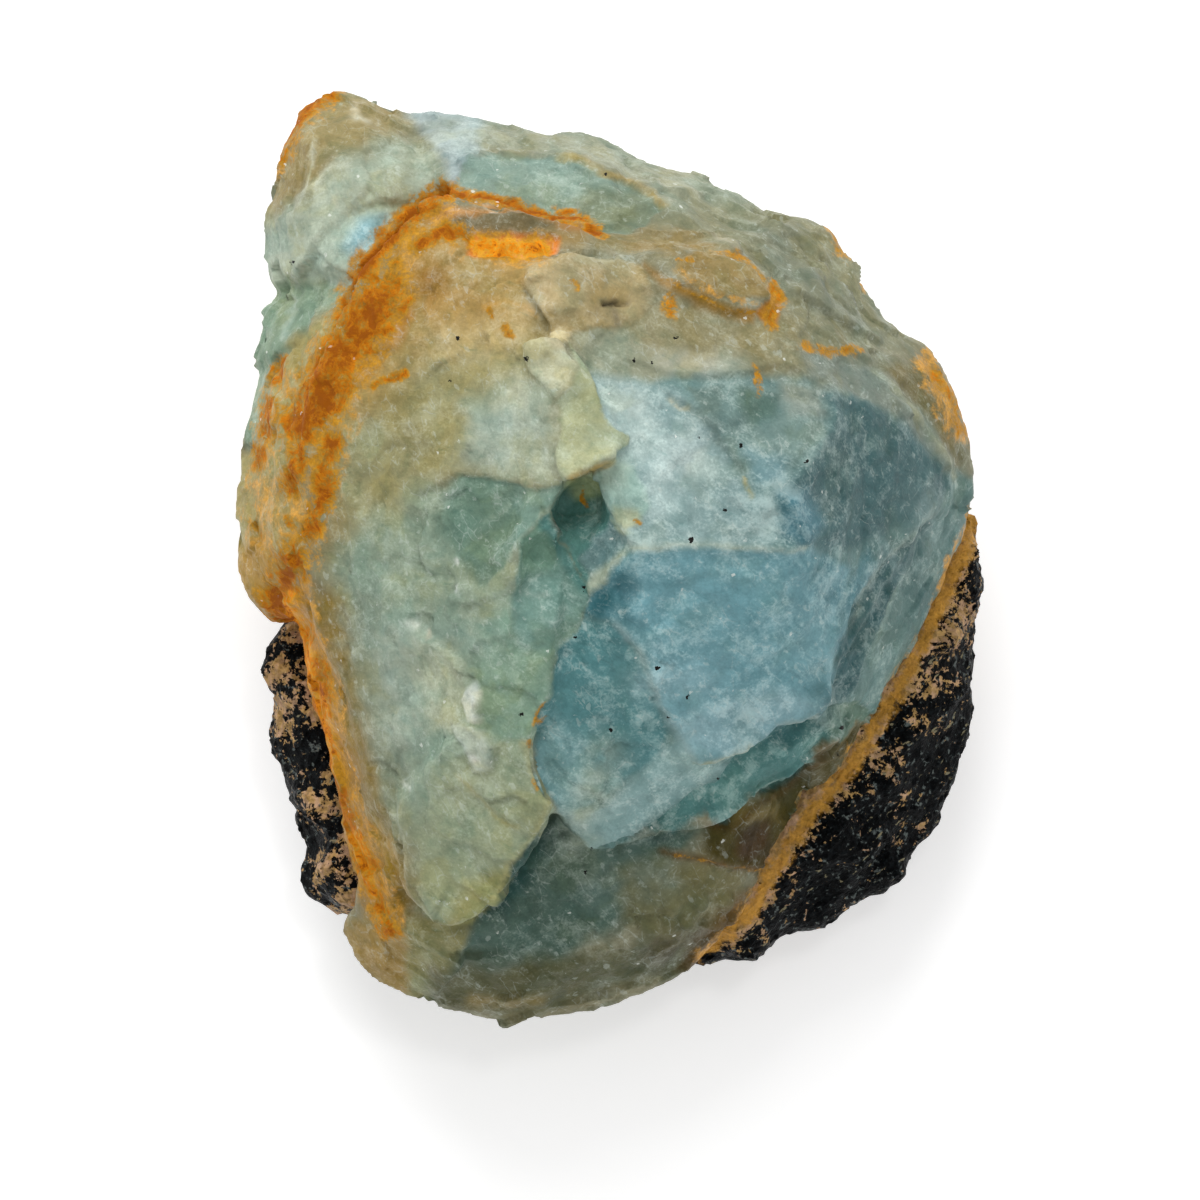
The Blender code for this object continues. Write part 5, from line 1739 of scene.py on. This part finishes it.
def aquamarine_material():
    graph = Graph("Aquamarine")
    tint = graph.read("tint", "Color")
    chip = graph.read("chip")

    crooked = graph.pushed(0.8, 0.35, graph.stretched((15, 25, -52), (1.7, 0.7, 1.0)))
    facets = graph.cells(0.8, crooked)
    facet_tone = graph.one_of(facets)
    shard_tone = graph.one_of(graph.cells(0.3, crooked))
    warmth = graph.noise(2.4, 3.0, warp=0.3)
    cloud = graph.noise(3.0, 3.0, warp=0.4)
    milk = graph.noise(1.3, 6.0, warp=0.25, rough=0.68)
    mottle = graph.noise(0.5, 4.0, warp=0.15, rough=0.66)
    grain = graph.noise(0.13, 2.0)
    along_fibres = graph.stretched((20, 35, 58), (1.5, 0.2, 0.4))
    fibres = graph.noise(1.0, 4.0, along_fibres, warp=0.3, rough=0.62)
    along_feathers = graph.stretched((-30, 20, -38), (2.0, 0.4, 0.8))
    feathers = graph.noise(1.0, 5.0, along_feathers, warp=0.4, rough=0.66)

    # How blue the stone is there: the blue faces are the more feathery ones
    blueness = graph.math("SUBTRACT", graph.one_of(tint, "Blue"), graph.one_of(tint, "Red"))
    feathery = graph.between(blueness, -0.02, 0.14, 0.55, 1.25)
    mixed_hue = graph.between(blueness, 0.14, -0.02, 0.15, 0.55)

    # Depth: the stone is darker and clearer between milky clouds, feathers and grains
    shade = graph.swing(0.95, (cloud, 0.20), (milk, 0.26), (mottle, 0.24), (grain, 0.28), (chip, 0.10))
    shade = graph.swing(shade, (facet_tone, 0.09), (shard_tone, 0.07))
    colour = graph.scaled(tint, shade)
    warm = graph.times(graph.between(warmth, 0.50, 0.64), mixed_hue)
    colour = graph.mix(warm, colour, WARM, "MULTIPLY")
    cool = graph.times(graph.between(warmth, 0.50, 0.36), mixed_hue)
    colour = graph.mix(cool, colour, COOL, "MULTIPLY")
    colour = graph.mix(graph.between(milk, 0.52, 0.30, 0.0, 0.5), colour, DEEP, "MULTIPLY")
    whitened = graph.mix(0.28, graph.scaled(colour, 1.30), MILK_AND_HIGHLIGHT)
    clouded = graph.swing(0.5, (milk, 1.0), (cloud, 0.8), (mottle, 0.4), (grain, 0.3))
    clouded = graph.times(graph.between(clouded, 0.46, 0.78, 0.0, 0.72), feathery)
    colour = graph.mix(clouded, colour, whitened)
    patch = graph.between(cloud, 0.40, 0.58)
    feathered = graph.swing(0.5, (feathers, 1.0), (grain, 0.35), (mottle, 0.4))
    feathered = graph.times(graph.between(feathered, 0.52, 0.72, 0.0, 0.8), patch)
    colour = graph.mix(graph.times(feathered, feathery), colour, whitened)
    stroked = graph.between(fibres, 0.58, 0.76, 0.0, 0.7)
    stroked = graph.times(stroked, graph.between(milk, 0.4, 0.6))
    colour = graph.mix(stroked, colour, whitened)
    colour = graph.mix(graph.between(feathers, 0.42, 0.26, 0.0, 0.6), colour, DEEP, "MULTIPLY")

    # Light rims where the stone is chipped, and small bright facets that are painted highlights
    rims = graph.times(graph.cell_rims(0.8, crooked), graph.between(milk, 0.50, 0.62, 0.0, 0.22))
    colour = graph.mix(rims, colour, MILK_AND_HIGHLIGHT)
    bright = graph.between(shard_tone, 0.90, 0.93)
    bright = graph.times(bright, graph.between(mottle, 0.50, 0.60, 0.0, 0.22))
    colour = graph.mix(bright, colour, MILK_AND_HIGHLIGHT)

    colour, rust = stained(graph, colour, grain)

    # White sparkles, which are painted highlights, and black specks
    sparkle_highlight = graph.math("GREATER_THAN", graph.one_of(graph.cells(0.15)), 0.9985)
    sparkle_highlight = graph.times(sparkle_highlight, graph.between(mottle, 0.4, 0.6, 0.0, 0.6))
    colour = graph.mix(sparkle_highlight, colour, SPARKLE_HIGHLIGHT)
    colour = graph.mix(speck_mask(graph), colour, BLACK)

    sheen = graph.between(mottle, 0.3, 0.7, 0.36, 0.52)
    dulled = graph.math("ADD", sheen, graph.between(rust, 0.3, 0.7, 0.0, 0.3))
    height = graph.swing(0.0, (milk, 1.0), (grain, 0.12), (feathers, 0.6))
    normal = graph.bump(height, 0.12, 0.8, graph.tilted(facets, 0.22))
    graph.set(Base_Color=colour, Roughness=dulled, Normal=normal)
    graph.set(IOR=AQUAMARINE_IOR, Specular_IOR_Level=AQUAMARINE_GLOSS)
    return graph.material


def tourmaline_material():
    graph = Graph("Black tourmaline")
    seam = graph.read("seam")
    tan = graph.read("tan")
    mottle = graph.noise(0.5, 4.0)
    clots = graph.noise(0.8, 6.0, warp=0.6, rough=0.68)
    grain = graph.noise(0.26, 5.0, warp=0.1, rough=0.65)
    crumbs = graph.noise(0.42, 3.0, warp=0.2, rough=0.6)
    needles = graph.noise(1.0, 3.0, graph.stretched((0, 0, 35), (0.8, 0.3, 0.5)), warp=0.2)
    tone = graph.one_of(graph.cells(0.28))

    # Black grains with slate between them, grey green crumbs that carry painted highlights, and a few pale
    # needles
    colour = graph.mix(graph.between(grain, 0.46, 0.62), COAL, SLATE)
    crumb_glints = graph.swing(0.5, (crumbs, 1.0), (grain, 0.8))
    colour = graph.mix(graph.between(crumb_glints, 0.60, 0.70, 0.0, 0.75), colour, GLINT)
    colour = graph.mix(graph.between(needles, 0.65, 0.70, 0.0, 0.85), colour, FLECK)

    # Tan and pink grains at the seam and in the patches
    share = graph.math("MAXIMUM", tan, graph.times(seam, 1.05))
    amount = graph.swing(share, (clots, 3.2), (grain, 2.0))
    pale = graph.mix(graph.between(mottle, 0.40, 0.62), BED_TAN, BED_PINK)
    pale = graph.scaled(pale, graph.swing(0.90, (tone, 0.5), (mottle, 0.8), (grain, 1.2)))
    colour = graph.mix(graph.between(amount, 0.50, 0.62, 0.0, 0.95), colour, pale)
    colour, _ = stained(graph, colour, grain)

    height = graph.swing(0.0, (grain, 1.0), (crumbs, 1.0), (tone, 0.3))
    sheen = graph.between(mottle, 0.3, 0.7, 0.3, 0.55)
    graph.set(Base_Color=colour, Roughness=sheen, Normal=graph.bump(height, 0.22))
    graph.set(IOR=TOURMALINE_IOR, Specular_IOR_Level=TOURMALINE_GLOSS)
    return graph.material


# Stage, in metres

FLOOR_HALF = 1.5
FLOOR_TONE = 0.93
FLOOR_GLOW = 0.35  # like a light table, so that the floor stays as pale as in the picture
KEY = {"place": (-0.12, 0.55, 0.50), "size": 0.45, "power": 3.0}
TOP_GLINT = {"place": (0.12, 0.16, 0.75), "size": 0.10, "power": 0.4}
LIGHT_AIM = Vector((0, 0, 0.012))
FILL = 0.62
SENSOR = 36.0
LENS = 600.0
LENS_HEIGHT = 1.0  # over the picture's middle
PICTURE_MIDDLE = (-0.45, -2.15, 12.0)  # millimetres in plan, and over the floor
NEAREST = 0.05


def make_floor():
    half = FLOOR_HALF
    corners = [(-half, -half, 0), (half, -half, 0), (half, half, 0), (-half, half, 0)]
    mesh = bpy.data.meshes.new("floor")
    mesh.from_pydata(corners, [], [(0, 1, 2, 3)])
    floor = bpy.data.objects.new("floor", mesh)
    bpy.context.scene.collection.objects.link(floor)
    graph = Graph("Floor")
    graph.set(Base_Color=(FLOOR_TONE, FLOOR_TONE, FLOOR_TONE), Roughness=0.9)
    graph.set(Emission_Color=(1.0, 1.0, 1.0), Emission_Strength=FLOOR_GLOW)
    mesh.materials.append(graph.material)


def add_area_light(name, place, size, power):
    light = bpy.data.lights.new(name, "AREA")
    light.shape = "DISK"
    light.size = size
    light.energy = power
    obj = bpy.data.objects.new(name, light)
    obj.location = place
    obj.rotation_euler = (LIGHT_AIM - Vector(place)).to_track_quat("-Z", "Y").to_euler()
    bpy.context.scene.collection.objects.link(obj)


def make_light():
    add_area_light("key", **KEY)
    add_area_light("glint", **TOP_GLINT)
    world = bpy.data.worlds.new("studio")
    bpy.context.scene.world = world
    world.use_nodes = True
    background = world.node_tree.nodes["Background"]
    background.inputs["Color"].default_value = (1.0, 1.0, 1.0, 1.0)
    background.inputs["Strength"].default_value = FILL


def make_camera():
    """A long lens straight above, so that the picture's millimetres are the frame's."""
    data = bpy.data.cameras.new("camera")
    data.sensor_width = SENSOR
    data.lens = LENS
    data.clip_start = NEAREST
    camera = bpy.data.objects.new("camera", data)
    x, y, z = PICTURE_MIDDLE
    camera.location = ((x + PLAN_SHIFT[0]) * MM, (y + PLAN_SHIFT[1]) * MM, z * MM + LENS_HEIGHT)
    bpy.context.scene.collection.objects.link(camera)
    bpy.context.scene.camera = camera
    bpy.context.scene.view_settings.view_transform = "Standard"


def main():
    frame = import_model()
    bed, bed_points, bed_normals = make_bed(frame["nodes"]["black_tourmaline"])
    stone, points, normals = make_stone(frame["nodes"]["aquamarine"])
    paint_stone(stone, points, normals, distance_to(points, bed_points))
    paint_bed(bed, bed_points, bed_normals, distance_to(bed_points, points))
    stone.data.materials.append(aquamarine_material())
    bed.data.materials.append(tourmaline_material())
    for piece, node in ((stone, "aquamarine"), (bed, "black_tourmaline")):
        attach(piece, "root")
        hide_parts(node)
        print(piece.name, sum(len(face.vertices) - 2 for face in piece.data.polygons), "triangles")
    make_floor()
    make_light()
    make_camera()


main()
